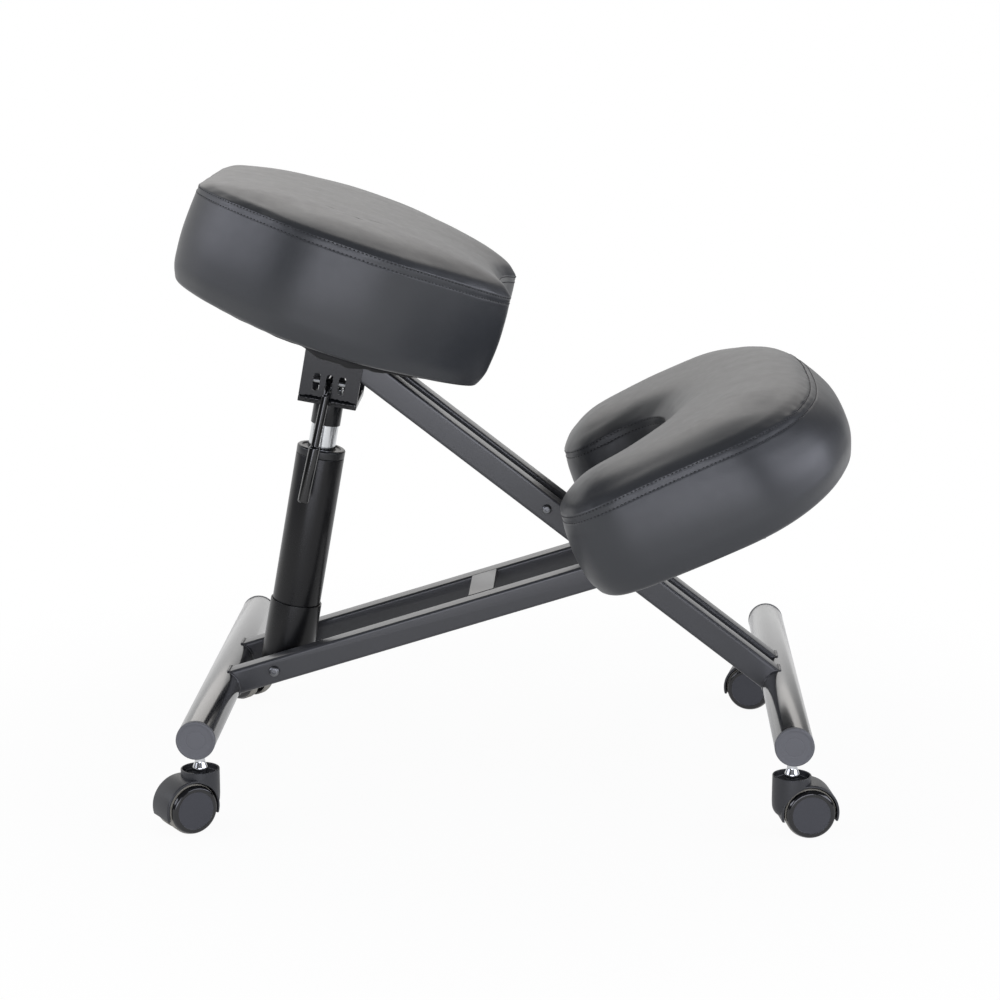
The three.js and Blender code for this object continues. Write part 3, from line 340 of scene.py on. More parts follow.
def turned(profile, segments=72, matrix=None):
    """Lathe about Z of a profile of (radius, height) that starts and ends on the axis or closes on itself."""
    bm = bmesh.new()
    rings = []
    for radius, height in profile:
        if radius < 1e-6:
            rings.append([bm.verts.new((0, 0, height))])
            continue
        rings.append([
            bm.verts.new((radius * math.cos(2 * math.pi * i / segments),
                          radius * math.sin(2 * math.pi * i / segments), height))
            for i in range(segments)])
    closed = len(rings[0]) > 1
    pairs = list(zip(rings, rings[1:])) + ([(rings[-1], rings[0])] if closed else [])
    for lower, upper in pairs:
        for i in range(segments):
            j = (i + 1) % segments
            corners = [lower[i % len(lower)], lower[j % len(lower)], upper[j % len(upper)], upper[i % len(upper)]]
            unique = list(dict.fromkeys(corners))
            if len(unique) > 2:
                bm.faces.new(unique)
    return finished(bm, matrix)


def extruded(outline, low, high, matrix=None, rounding=0.0):
    """Outline of (a, b) pairs given thickness along Z from low to high, with its rims rounded."""
    bm = bmesh.new()
    levels = [low, high]
    rows = [[bm.verts.new((a, b, level)) for a, b in outline] for level in levels]
    count = len(outline)
    for i in range(count):
        j = (i + 1) % count
        bm.faces.new((rows[0][i], rows[0][j], rows[1][j], rows[1][i]))
    ends = [bm.faces.new(list(reversed(rows[0]))), bm.faces.new(rows[1])]
    if rounding:
        rims = list({edge for face in ends for edge in face.edges})
        bmesh.ops.bevel(bm, geom=rims, offset=rounding, segments=3, profile=0.5, affect="EDGES")
    return finished(bm, matrix)


def ring(bm, centre, radius, first, second, sides):
    """Vertices on a circle round a centre, in the plane of two unit vectors."""
    turn = 2 * math.pi / sides
    return [
        bm.verts.new(centre + radius * (math.cos(turn * s) * first + math.sin(turn * s) * second))
        for s in range(sides)]


def bridged(bm, rings, closed=False, capped=True):
    """Skins rings of equal count into a tube that closes on itself, or has a cap at each end."""
    for first, second in zip(rings, rings[1:] + rings[:1] if closed else rings[1:]):
        for corners in zip(first, first[1:] + first[:1], second[1:] + second[:1], second):
            bm.faces.new(corners)
    if capped and not closed:
        bm.faces.new(list(reversed(rings[0])))
        bm.faces.new(rings[-1])


def rippled(radius, k, coarse, pace, fine, drift, phase=0.0):
    """Radius of the k-th ring of a weld bead, whose ripples overlap unevenly."""
    return radius * (1 + coarse * math.sin(k * pace) + fine * math.sin(k * drift + phase))


def finished(bm, matrix=None):
    bmesh.ops.recalc_face_normals(bm, faces=bm.faces)
    if matrix is not None:
        bm.transform(matrix)
    mesh = bpy.data.meshes.new("piece")
    bm.to_mesh(mesh)
    bm.free()
    return mesh


def merged(*meshes):
    bm = bmesh.new()
    for mesh in meshes:
        bm.from_mesh(mesh)
        bpy.data.meshes.remove(mesh)
    joined = bpy.data.meshes.new("piece")
    bm.to_mesh(joined)
    bm.free()
    return joined


def combined(base, other, operation):
    """Boolean of two meshes."""
    target = bpy.data.objects.new("target", base)
    tool = bpy.data.objects.new("tool", other)
    for item in (target, tool):
        bpy.context.scene.collection.objects.link(item)
    modifier = target.modifiers.new("cut", "BOOLEAN")
    modifier.operation = operation
    modifier.solver = "EXACT"
    modifier.object = tool
    bpy.context.view_layer.update()
    graph = bpy.context.evaluated_depsgraph_get()
    result = bpy.data.meshes.new_from_object(target.evaluated_get(graph))
    for item in (target, tool):
        bpy.data.objects.remove(item)
    return result


def add_piece(name, mesh, place, body, finish, node=None, crease=35):
    """Puts a mesh into the row's frame as a finished piece that rides on a body."""
    labels = [finish] if isinstance(finish, str) else finish
    mesh.transform(place)
    mesh.name = name
    mesh.polygons.foreach_set("use_smooth", [True] * len(mesh.polygons))
    mesh.set_sharp_from_angle(angle=math.radians(crease))
    piece = bpy.data.objects.new(name, mesh)
    bpy.context.scene.collection.objects.link(piece)
    for label in labels:
        mesh.materials.append(finish_of(label))
    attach(piece, body)
    if node:
        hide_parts(node)
    return piece


ACROSS = Matrix.Rotation(math.radians(-90), 4, "X")


def dress(finish, *nodes):
    """Gives CAD nodes that stay their finish."""
    for node in nodes:
        mesh = frame["nodes"][node].data
        if not mesh.materials:
            mesh.materials.append(None)
        for i in range(len(mesh.materials)):
            mesh.materials[i] = finish_of(finish)


def numbered(name, count=4):
    return [f"{name}_{number}" for number in range(1, count + 1)]


# Stage

FLOOR_HALF = 9
# name, place, aim, width and height in metres, watts, colour
LAMPS = (
    ("key_softbox", (0.1, 2.5, 1.9), (0, 0, 0.35), 3.2, 1.5, 15, "#FFFAF5"),
    ("front_softbox", (0.2, -3.2, 0.5), (0.05, 0, 0.4), 2.6, 1.0, 37, "#F0F2FF"),
    ("left_softbox", (-2.85, -0.7, 1.5), (0, 0, 0.45), 2.4, 1.2, 34, "#F0F2FF"),
    ("right_softbox", (2.9, -0.6, 1.3), (0, 0, 0.4), 4.4, 1.3, 66, "#F0F2FF"),
)
# distance from the middle in metres where the paper's look starts and ends to change, and its share there
CAMERA_FADE = (0.35, 0.9, 0.95, 1.0)
GLOSS_FADE = (0.5, 1.7, 0.5, 0.95)
# the bright wall: which way it lies, where its edge starts and ends, and how bright the room is off and on it
ROOM_HEADING = (-0.45, 0.89, 0)
ROOM_EDGE = (0.5, 0.84, 0.08, 1.0)
ROOM_AS_LIGHT = 0.6


class CHAIR_OT_stage(Operator):
    """Makes the pale floor, the soft lights and the camera"""
    bl_idname = "chair.stage"
    bl_label = "Stage"

    def execute(self, context):
        settings = context.scene.chair_stage
        context.scene.view_settings.view_transform = "Standard"
        self.camera(context, settings)
        self.floor(settings)
        self.lights()
        self.world(context.scene)
        return {"FINISHED"}

    def camera(self, context, settings):
        camera = bpy.data.objects.new("camera", bpy.data.cameras.new("camera"))
        camera.data.lens = settings.lens
        camera.data.sensor_width = 36
        camera.data.clip_end = 50
        turn = Matrix.Rotation(settings.camera_turn, 4, "Z")
        pitch = Matrix.Rotation(math.radians(90) - settings.camera_pitch, 4, "X")
        roll = Matrix.Rotation(settings.camera_roll, 4, "Z")
        camera.matrix_world = Matrix.Translation(settings.camera_place) @ turn @ pitch @ roll
        context.scene.collection.objects.link(camera)
        context.scene.camera = camera

    def floor(self, settings):
        bm = bmesh.new()
        bmesh.ops.create_grid(bm, x_segments=1, y_segments=1, size=FLOOR_HALF)
        floor = bpy.data.objects.new("floor", finished(bm))
        bpy.context.scene.collection.objects.link(floor)
        floor.data.materials.append(self.seamless_paper(settings))

    def graded(self, tree, value, edge):
        """Value graded smoothly between the two ends of an edge."""
        start, end, low, high = edge
        return add_node(
            tree, "ShaderNodeMapRange", {"interpolation_type": "SMOOTHSTEP"}, Value=value, From_Min=start,
            From_Max=end, To_Min=low, To_Max=high).outputs["Result"]

    def seamless_paper(self, settings):
        """White seamless paper: seen by the camera as white, and pale under the object's shadow."""
        material = bpy.data.materials.new("seamless_paper")
        material.use_nodes = True
        tree = material.node_tree
        shader = feed(tree, tree.nodes["Principled BSDF"], Base_Color=linear("#D4D4D4"), Roughness=0.9)
        glow = add_node(tree, "ShaderNodeEmission", Color=linear(settings.backdrop), Strength=1.0)
        place = add_node(tree, "ShaderNodeTexCoord").outputs["Object"]
        away = add_node(tree, "ShaderNodeVectorMath", {"operation": "LENGTH"}, i0=place).outputs["Value"]
        path = add_node(tree, "ShaderNodeLightPath").outputs
        gloss = add_node(
            tree, "ShaderNodeMath", {"operation": "MULTIPLY"}, i0=path["Is Glossy Ray"],
            i1=self.graded(tree, away, GLOSS_FADE)).outputs["Value"]
        through = add_node(
            tree, "ShaderNodeMath", {"operation": "MAXIMUM"}, i0=path["Is Camera Ray"],
            i1=path["Is Transmission Ray"]).outputs["Value"]
        looked = add_node(tree, "ShaderNodeMath", {"operation": "MAXIMUM"}, i0=through, i1=gloss).outputs["Value"]
        seen = add_node(
            tree, "ShaderNodeMath", {"operation": "MULTIPLY"}, i0=looked,
            i1=self.graded(tree, away, CAMERA_FADE)).outputs["Value"]
        mix = add_node(
            tree, "ShaderNodeMixShader", Fac=seen, i1=shader.outputs["BSDF"], i2=glow.outputs["Emission"])
        feed(tree, tree.nodes["Material Output"], Surface=mix.outputs["Shader"])
        return material

    def lights(self):
        for name, place, aim, width, height, watts, colour in LAMPS:
            light = bpy.data.lights.new(name, "AREA")
            light.shape = "RECTANGLE"
            light.size, light.size_y = width, height
            light.energy = watts
            light.color = linear(colour)[:3]
            lamp = bpy.data.objects.new(name, light)
            bpy.context.scene.collection.objects.link(lamp)
            lamp.location = place
            lamp.rotation_euler = (Vector(aim) - Vector(place)).to_track_quat("-Z", "Y").to_euler()

    def world(self, scene):
        """A pale room: white where the camera or glass sees it, and softer as a light.

        Gloss sees it white behind the chair, and dim at the sides and towards the viewer.
        """
        world = bpy.data.worlds.new("pale_room")
        world.use_nodes = True
        scene.world = world
        tree = world.node_tree
        tree.nodes.clear()
        heading = add_node(
            tree, "ShaderNodeVectorMath", {"operation": "DOT_PRODUCT"},
            i0=add_node(tree, "ShaderNodeTexCoord").outputs["Generated"], i1=ROOM_HEADING).outputs["Value"]
        path = add_node(tree, "ShaderNodeLightPath").outputs
        glossy = add_node(
            tree, "ShaderNodeMapRange", Value=path["Is Glossy Ray"], To_Min=ROOM_AS_LIGHT,
            To_Max=self.graded(tree, heading, ROOM_EDGE)).outputs["Result"]
        through = add_node(
            tree, "ShaderNodeMath", {"operation": "MAXIMUM"}, i0=path["Is Camera Ray"],
            i1=path["Is Transmission Ray"]).outputs["Value"]
        strength = add_node(
            tree, "ShaderNodeMapRange", Value=through, To_Min=glossy, To_Max=1.0).outputs["Result"]
        sky = add_node(tree, "ShaderNodeBackground", Color=linear("#FFFFFF"), Strength=strength)
        add_node(tree, "ShaderNodeOutputWorld", Surface=sky.outputs["Background"])


# Steel parts. Sizes are in millimetres: along the rails x is measured from the scissor pivot, and on the
# spring and the bracket height is measured from the seat's pivot.

TUBE_LENGTHS = (("rear", "lower_frame", 466), ("front", "upper_frame", 453))
TUBE_WALL = 1.6
# label, matrix, body, ends, inner and outer face, centre of the base tube it is coped to, side it lies on
# from there, and whether its free end is rounded
RAILS = (
    ("lower", LOWER_FRAME, "lower_frame", (-427, 152), (41.1, 63.3), (-427, -1.6), 1, False),
    ("upper", UPPER_FRAME, "upper_frame", (-381.7, 215.2), (14, 37.4), (215.2, -0.8), -1, True),
)
CROSS_PLATE = {"ends": (-156.5, -129.5), "half_width": 40.8, "heights": (9, 13)}
SPRING_X = 5.9
SPRING_FOOT = -341.3
COLUMN_TOP = -122.5
SOCKET_END = -89
BASE_PLATE = {"ends": (-23, 37), "half_width": 42.7, "heights": (-62, -56)}
# name, body, matrix, x, diameter, outer face that the head bears on, and the solid it stands for
BOLTS = (
    ("scissor_screw", "lower_frame", LOWER_FRAME, 0, 10, 63.3, "scissor_bolt"),
    ("spring_screw", "lower_frame", LOWER_FRAME, -368.7, 10, 63.3, "spring_pivot_bolt"),
    ("tie_screw", "upper_frame", UPPER_FRAME, -92, 8, 37.4, "tie_bolt"),
    ("seat_screw", "seat", SPRING_FRAME, 0, 10, 40.7, "seat_pivot_bolt"),
)
ROUND = 96


def plate(sizes_of_plate, corner, rim):
    """Flat plate with rounded corners and eased rims."""
    (start, end), half = sizes_of_plate["ends"], sizes_of_plate["half_width"]
    outline = [(start, -half), (end, -half), (end, half), (start, half)]
    return extruded(fillet(outline, corner, 3, True), *sizes_of_plate["heights"], None, rim)


class CHAIR_OT_base_tubes(Operator):
    """Makes the two base tubes and their end caps"""
    bl_idname = "chair.base_tubes"
    bl_label = "Base tubes"

    def execute(self, context):
        radius = sizes().tube_diameter / MM / 2
        for label, body, length in TUBE_LENGTHS:
            low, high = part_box(f"{label}_base_tube")
            middle = placed((low + high) / 2, 0)
            half, bore = length / 2, radius - TUBE_WALL
            tube = turned(
                fillet([(bore, -half), (radius, -half), (radius, half), (bore, half)], 0.4, 3, True), ROUND, ACROSS)
            add_piece(f"{label}_tube", tube, middle, body, "enamel", f"{label}_base_tube")
            for side, turn in (("left", 0), ("right", 180)):
                cap = self.cap(radius)
                cap.transform(Matrix.Rotation(math.radians(turn), 4, "Z") @ Matrix.Translation((0, half + 0.3, 0)))
                add_piece(f"{label}_cap_{side}", cap, middle, body, "cap", f"{label}_end_cap_{side}")
        return {"FINISHED"}

    def cap(self, radius):
        """Push-in cap: dished face inside a raised rim, and a sink ring left by the mould."""
        flange = radius + 0.15
        return turned(fillet([
            (0, 3.75), (8.5, 3.7), (9.3, 3.45), (10.1, 3.7), (15.6, 3.7), (17.0, 4.35), (flange - 0.9, 4.4),
            (flange, 3.6), (flange, 0.1), (radius - 1.9, 0), (radius - 2.0, -13), (0, -13)],
            [0, 0.5, 0.5, 0.5, 0.8, 0.8, 0.8, 0.9, 0.2, 0.2, 0.4, 0], 4), ROUND, ACROSS)


class CHAIR_OT_rails(Operator):
    """Makes the four rails, their welds on the base tubes, and the plate across the lower ones"""
    bl_idname = "chair.rails"
    bl_label = "Rails"

    def execute(self, context):
        for side, label in ((1, "left"), (-1, "right")):
            for name, matrix, body, ends, faces, cope, _, rounded in RAILS:
                rail = self.coped(self.rail(*ends, sorted(side * face for face in faces), rounded), *cope)
                add_piece(f"{name}_rail_{label}_steel", rail, matrix, body, "paint", f"{name}_rail_{label}")
            for name, matrix, body, ends, faces, cope, direction, _ in RAILS:
                bead = self.weld(*cope, direction, side * sum(faces) / 2, faces[1] - faces[0])
                add_piece(f"{name}_weld_{label}", bead, matrix, body, "paint", crease=60)
        add_piece(
            "cross_plate_steel", plate(CROSS_PLATE, 1.0, 0.5), LOWER_FRAME, "lower_frame", "paint", "cross_plate")
        return {"FINISHED"}

    def rail(self, start, end, across, rounded):
        """Rectangular tube with drawn corners, its rear end rounded to a half drum if asked."""
        near, far = across
        half = sizes().rail_height / MM / 2
        outer = fillet([(near, -half), (far, -half), (far, half), (near, half)], 3.2, 5, True)
        along = Matrix(((0, 0, 1, 0), (1, 0, 0, 0), (0, 1, 0, 0), (0, 0, 0, 1)))
        rail = extruded(outer, start, end, along)
        if rounded:
            centre, spare, tall = start + half, 5, 20
            drum = turned([(0, near - spare), (half, near - spare), (half, far + spare), (0, far + spare)], 64, ACROSS)
            drum.transform(Matrix.Translation((centre, 0, 0)))
            stock = extruded(
                [(centre, -tall), (end + tall, -tall), (end + tall, tall), (centre, tall)], near - spare, far + spare)
            stock.transform(Matrix.Rotation(math.radians(90), 4, "X"))
            stock.transform(Matrix.Translation((0, near + far, 0)))
            rail = combined(rail, combined(drum, stock, "UNION"), "INTERSECT")
        return rail

    def coped(self, rail, x, z):
        """Rail cut to the round of the base tube, with a clearance of 0.1."""
        radius, reach = sizes().tube_diameter / MM / 2 + 0.1, 90
        cutter = turned([(0, -reach), (radius, -reach), (radius, reach), (0, reach)], ROUND, ACROSS)
        cutter.transform(Matrix.Translation((x, 0, z)))
        return combined(rail, cutter, "DIFFERENCE")

    def weld(self, x, z, direction, middle, width):
        """Bead round the rail where it meets the tube: overlapping ripples of weld metal."""
        tube = sizes().tube_diameter / MM / 2
        half, rise, close = width / 2, sizes().rail_height / MM / 2, 0.01
        corners = [Vector((middle + y * half, h * rise)) for y, h in ((-1, 1), (1, 1), (1, -1), (-1, -1))]
        path = [
            start.lerp(end, i / steps)
            for start, end, steps in zip(corners, corners[1:] + corners[:1], (14, 16, 14, 16)) for i in range(steps)]
        bm = bmesh.new()
        away = Vector((direction, 0, 0))
        rings = []
        for k, (y, h) in enumerate(path):
            reach = math.sqrt(max(tube ** 2 - (h - z) ** 2, 1))
            out = Vector((
                0, 1 if y > middle + half - close else -1 if y < middle - half + close else 0,
                1 if h > rise - close else -1 if h < -rise + close else 0)).normalized()
            rings.append(ring(
                bm, Vector((x + direction * reach, y, h)), rippled(1.5, k, 0.16, 2.1, 0.08, 0.7, middle), out, away, 8))
        bridged(bm, rings, closed=True)
        return finished(bm)


class CHAIR_OT_gas_spring(Operator):
    """Makes the column, its sleeve and collar, and the chromed cylinder"""
    bl_idname = "chair.gas_spring"
    bl_label = "Gas spring"

    def execute(self, context):
        outer = sizes().column_diameter / MM / 2
        inner, floor = outer - 2, SPRING_FOOT + 17
        foot, sleeve_top = SPRING_FOOT - 9.5, SPRING_FOOT + 61
        # the column and its foot take the lacquer, whose near-black colour is painted shade
        for name, body, finish, node, profile, radii, steps, closed in (
                ("column_tube", "gas_spring_column", "lacquer", "spring_column",
                 [(4.3, floor), (outer, floor), (outer, COLUMN_TOP), (inner, COLUMN_TOP), (inner, floor + 2),
                  (4.3, floor + 2)], 0.5, 3, True),
                ("column_collar", "gas_spring_column", "acetal", "guide_bush",
                 [(14.3, -182), (22.7, -182), (22.7, -122.2), (outer, -122.2), (outer, -114.6), (outer - 1.6, -113.5),
                  (20.2, -113.5), (19.4, -115.0), (15.4, -115.0), (14.3, -113.7)],
                 [0, 0.3, 0, 0.5, 1.4, 0.6, 0.4, 0.4, 0.4, 0.3], 4, True),
                ("column_foot", "gas_spring_column", "lacquer", "column_sleeve",
                 [(0, foot), (26.7, foot), (26.7, sleeve_top), (25.3, sleeve_top), (25.3, foot + 2), (0, foot + 2)],
                 [0, 5, 0.5, 0.3, 3.5, 0], 5, False),
                ("spring_cylinder", "seat", "chrome", "gas_cylinder",
                 [(0, -300), (14, -300), (14, SOCKET_END), (13.2, -50.6), (12.4, -50), (3.8, -50), (3.8, -99),
                  (0, -99)], [0, 1, 0, 0.5, 0.4, 0.3, 0, 0], 3, False)):
            add_piece(
                name, turned(fillet(profile, radii, steps, closed), ROUND),
                SPRING_FRAME @ Matrix.Translation((SPRING_X, 0, 0)), body, finish, node)
        return {"FINISHED"}


class CHAIR_OT_bracket(Operator):
    """Finishes the seat bracket, its welds, and the release lever"""
    bl_idname = "chair.bracket"
    bl_label = "Seat bracket and lever"

    def execute(self, context):
        # the bracket's finish is painted darker than the rails' black, as painted shade under the seat
        dress("bracket", "bracket_side_left", "bracket_side_right")
        self.base()
        self.lever()
        dress("zinc", "lever_pin", "valve_pin", "piston_rod")
        return {"FINISHED"}

    def base(self):
        on_spring = Matrix.Translation((SPRING_X, 0, 0))
        socket = turned(fillet([
            (14.15, SOCKET_END), (15.25, SOCKET_END), (15.25, -56), (13.8, -56)], 0.4, 3, True), 72, on_spring)
        hole = turned([(0, -70), (14.6, -70), (14.6, -40), (0, -40)], 72, on_spring)
        base = merged(combined(plate(BASE_PLATE, 1.2, 0.6), hole, "DIFFERENCE"), socket)
        # plate, socket and welds take the bracket's darker black: painted shade under the seat
        add_piece("bracket_plate", base, SPRING_FRAME, "seat", "bracket", "bracket_base")
        bm = bmesh.new()
        for y in (-41.6, 41.6):
            self.bead(bm, Vector((-22.5, y, -57.4)), Vector((36.5, y, -57.4)), 2.9)
        self.ring_bead(bm, Vector((SPRING_X, 0, -62.3)), 15.6)
        add_piece("bracket_welds", finished(bm), SPRING_FRAME, "seat", "bracket", crease=60)

    def bead(self, bm, start, end, radius):
        """Rippled bead of weld metal along a straight joint."""
        count = 36
        along = (end - start).normalized()
        side = along.cross(Vector((0, 0, 1))).normalized()
        up = side.cross(along)
        bridged(bm, [
            ring(
                bm, start.lerp(end, k / count), rippled(
                    radius * math.sqrt(max(0.02, 1 - abs(2 * k / count - 1) ** 6)), k, 0.18, 1.9, 0.1, 0.8, start.y),
                side, up, 8)
            for k in range(count + 1)])

    def ring_bead(self, bm, middle, radius):
        """Bead round the socket, under the base plate."""
        count = 72
        rings = []
        for k in range(count):
            angle = 2 * math.pi * k / count
            out = Vector((math.cos(angle), math.sin(angle), 0))
            rings.append(ring(
                bm, middle + out * radius, rippled(1.6, k, 0.15, 2.3, 0.08, 0.9), out, Vector((0, 0, 1)), 8))
        bridged(bm, rings, closed=True)

    def lever(self):
        """Bent rod in a dipped sleeve that is thicker where the hand holds it, and its hub on the pin."""
        elbow, tail, bend = Vector((0, -52, 0)), Vector((-5.5, -57.5, -122)), 11.3
        reach = (tail - elbow).length
        along = (tail - elbow).normalized()
        before, after = Vector((0, -52 + bend, 0)), elbow.lerp(tail, bend / reach)
        path = [Vector((0, 3, 0)), Vector((0, -20, 0)), before]
        path += [
            (1 - t) ** 2 * before + 2 * t * (1 - t) * elbow + t ** 2 * after for t in [i / 10 for i in range(1, 11)]]
        path += [after.lerp(tail, t) for t in (0.2, 0.4, 0.6, 0.8, 0.95)]
        bare, slim, thick, step = 9, 4.2, 5.6, 55
        end = reach - bare
        grip = turned(fillet([
            (0, 0), (slim - 0.6, 0), (slim, 1.5), (slim, step - 1), (thick, step + 0.6), (thick, end), (0, end)],
            [0, 0.3, 1.0, 0.6, 1.0, 4.6, 0], 8), 40,
            Matrix.Translation(elbow + along * bare) @ along.to_track_quat("Z", "Y").to_matrix().to_4x4())
        hub = turned(fillet([(2.8, -6), (4.3, -6), (4.3, 6), (2.8, 6)], 0.4, 3, True), 40,
                     Matrix.Translation((0, -33, 0)) @ Matrix.Rotation(math.radians(90), 4, "Y"))
        add_piece(
            "lever_bar", merged(self.swept(path, 3), hub, grip), SPRING_FRAME @ Matrix.Translation((SPRING_X, 0, -40)),
            "release_lever", "dipped", "release_lever")

    def swept(self, path, radius):
        """Round rod along a path."""
        bm = bmesh.new()
        rings = []
        for i, point in enumerate(path):
            direction = (path[min(i + 1, len(path) - 1)] - path[max(i - 1, 0)]).normalized()
            side = (Vector((1, 0, 0)) - direction * direction.x).normalized()
            rings.append(ring(bm, point, radius, side, direction.cross(side), 20))
        bridged(bm, rings)
        return finished(bm)


class CHAIR_OT_bolts(Operator):
    """Makes the cross bolts, with drive recess and lock nut, and finishes spacers and bushes"""
    bl_idname = "chair.bolts"
    bl_label = "Bolts"

    def execute(self, context):
        for name, body, matrix, x, diameter, face, node in BOLTS:
            bolt = self.bolt(diameter, face)
            bolt.transform(Matrix.Translation((x, 0, 0)))
            add_piece(name, bolt, matrix, body, "burnished", node)
        dress(
            "acetal", "scissor_bush_left", "scissor_bush_right", "spring_pivot_spacer_left",
            "spring_pivot_spacer_right")
        dress("zinc", "tie_spacer")
        return {"FINISHED"}

    def hexagon(self, radius):
        return [(radius * math.cos(math.radians(a)), radius * math.sin(math.radians(a))) for a in range(0, 360, 60)]

    def bolt(self, diameter, face):
        """Low button head with a hexagon socket at one side, lock nut at the other."""
        shank = diameter / 2
        head = 5.7 if diameter > 9 else 5.0
        near, nut = -face - 0.3, face + 0.3
        body = turned(fillet([
            (0, near - 3.6), (0.6 * head, near - 3.5), (0.9 * head, near - 2.5), (head, near - 0.8), (head, near),
            (shank - 0.4, near), (shank - 0.4, nut + 9.6), (0, nut + 9.6)],
            [0, 1.5, 1.5, 0.8, 0.3, 0, 0.6, 0], 4), 48, ACROSS)
        recess = extruded(self.hexagon(0.42 * head), near - 9, near - 1.6, ACROSS)
        flats = shank + 3.6
        collar = turned(fillet([
            (shank, nut + 5.8), (0.82 * flats, nut + 5.8), (0.82 * flats, nut + 8), (shank, nut + 8)], 0.6, 3, True),
            48, ACROSS)
        return merged(
            combined(body, recess, "DIFFERENCE"), extruded(self.hexagon(flats), nut, nut + 6, ACROSS, 0.5), collar)


# Casters: the axle lies behind the stem by the trail, at the middle of the wheels
TRAIL = 16
AXLE_HEIGHT = 25
ON_AXLE = Matrix.Translation((TRAIL, 0, AXLE_HEIGHT))


class CHAIR_OT_casters(Operator):
    """Makes the four casters: stem, hooded housing and two wheels each"""
    bl_idname = "chair.casters"
    bl_label = "Casters"

    def execute(self, context):
        for label, carrier in (("rear_left", "lower_frame"), ("rear_right", "lower_frame"),
                               ("front_left", "upper_frame"), ("front_right", "upper_frame")):
            swivel = joint_place(f"{label}_swivel")
            wheel = joint_place(f"{label}_wheel_a_spin")
            heading = math.atan2(wheel.y - swivel.y, wheel.x - swivel.x)
            drop = wheel.z - sizes().wheel_diameter / 2
            upright = Matrix.Translation((swivel.x, swivel.y, drop))
            turn = upright @ Matrix.Rotation(heading, 4, "Z") @ Matrix.Scale(MM, 4)
            add_piece(
                f"{label}_stem", self.stem(), upright @ Matrix.Scale(MM, 4), carrier, "chrome",
                f"{label}_caster_stem")
            add_piece(
                f"{label}_housing", self.housing(), turn, f"{label}_caster", "hood", f"{label}_caster_housing",
                crease=30)
            for mark, flip in (("a", 0), ("b", 180)):
                axle = turn @ ON_AXLE @ Matrix.Rotation(math.radians(flip), 4, "Z")
                piece = add_piece(
                    f"{label}_roller_{mark}", self.wheel(), axle, f"{label}_wheel_{mark}",
                    ("rim", "disc", "tread"), f"{label}_wheel_{mark}")
                self.paint_wheel(piece, axle)
        return {"FINISHED"}

    def stem(self):
        return turned(fillet([
            (0, 30), (3.6, 30), (3.6, 58.3), (7.5, 58.3), (7.5, 61.4), (5, 67.3), (5, 104.8), (3.8, 106), (0, 106)],
            [0, 0.5, 0, 0.4, 0.8, 0.8, 0.5, 0.5, 0], 4), 56)

    def housing(self):
        """Barrel with a recess for the stem's collar, joined to a hood cut out for the two wheels."""
        half, web, roof = 16.5, 5, 17.1
        barrel = turned(fillet([
            (0, 20), (14.5, 20), (18.4, 26), (19, 34), (19, 60), (17.2, 60), (17.0, 54), (7, 54), (6.8, 58), (0, 58)],
            [0, 6, 5, 4, 0.7, 0.7, 1.2, 0.8, 0.5, 0], 5), 72)
        hood = turned(fillet([
            (0, -half), (28.6, -half), (28.6, half), (0, half)], [0, 1.6, 1.6, 0], 5), ROUND, ACROSS)
        hood.transform(ON_AXLE)
        keep = extruded([(-60, -40), (80, -40), (80, 40), (-60, 40)], roof, 90)
        body = combined(barrel, combined(hood, keep, "INTERSECT"), "UNION")
        for low, high in ((web, 60), (-60, -web)):
            room = turned([(0, low), (26.4, low), (26.4, high), (0, high)], ROUND, ACROSS)
            room.transform(ON_AXLE)
            body = combined(body, room, "DIFFERENCE")
        socket = turned([(0, 29.7), (3.9, 29.7), (3.9, 66), (0, 66)], 40)
        axle = turned(fillet([(0, -half), (3, -half), (3, half), (0, half)], 0.4, 3), 40, ACROSS)
        axle.transform(ON_AXLE)
        return merged(combined(body, socket, "DIFFERENCE"), axle)

    def wheel(self):
        """Tread, pale shoulder line, polished bevel and flat textured disc."""
        return turned(fillet([
            (3.3, 5.6), (24.2, 5.6), (25, 6.5), (25, 14.6), (24.2, 15.4), (24.2, 17.4), (22.6, 20.6), (18.9, 21),
            (18.5, 20.5), (0, 20.9), (0, 16.8), (3.3, 16.8)],
            [0.3, 0.5, 0.5, 0.3, 0.2, 2.6, 2.6, 0.35, 0.3, 0, 0, 0.3], 8, True), ROUND, ACROSS)

    def paint_wheel(self, piece, axle):
        """Outer disc textured, shoulder and tread grey, all else polished."""
        back = axle.inverted()
        for face in piece.data.polygons:
            centre = back @ face.center
            radius = math.hypot(centre.x, centre.z)
            if centre.y > 19 and radius < 18.8:
                face.material_index = 1
            elif radius > 23.9 and centre.y < 16.3:
                face.material_index = 2


# Pads

SEAT_HALF = [
    (-1, 0), (-1, 0.26), (-0.982, 0.497), (-0.815, 0.705), (-0.612, 0.842), (-0.288, 0.985), (0.015, 1),
    (0.318, 0.942), (0.617, 0.768), (0.806, 0.637), (0.955, 0.49), (1, 0.4), (0.945, 0.25), (0.912, 0.12), (0.905, 0)]
KNEE_HALF = [
    (1, 0), (0.985, 0.3), (0.933, 0.52), (0.787, 0.76), (0.597, 0.9), (0.366, 0.975), (0, 1), (-0.4, 0.998),
    (-0.64, 0.98), (-0.83, 0.92), (-0.945, 0.8), (-0.985, 0.65), (-0.97, 0.47), (-0.86, 0.36), (-0.65, 0.325),
    (-0.43, 0.31), (-0.27, 0.25), (-0.19, 0.14), (-0.171, 0)]
KNEE_SPINE = [(-0.52, 0.66), (-0.2, 0.66), (0.12, 0.62), (0.33, 0.46), (0.4, 0.22), (0.41, 0)]
SEAT_SPINE = [(-0.08, 0.42), (-0.08, 0)]


STEPS_PER_KNOT = 40


def mirrored(half):
    return half + [(u, -w) for u, w in reversed(half[1:-1])]


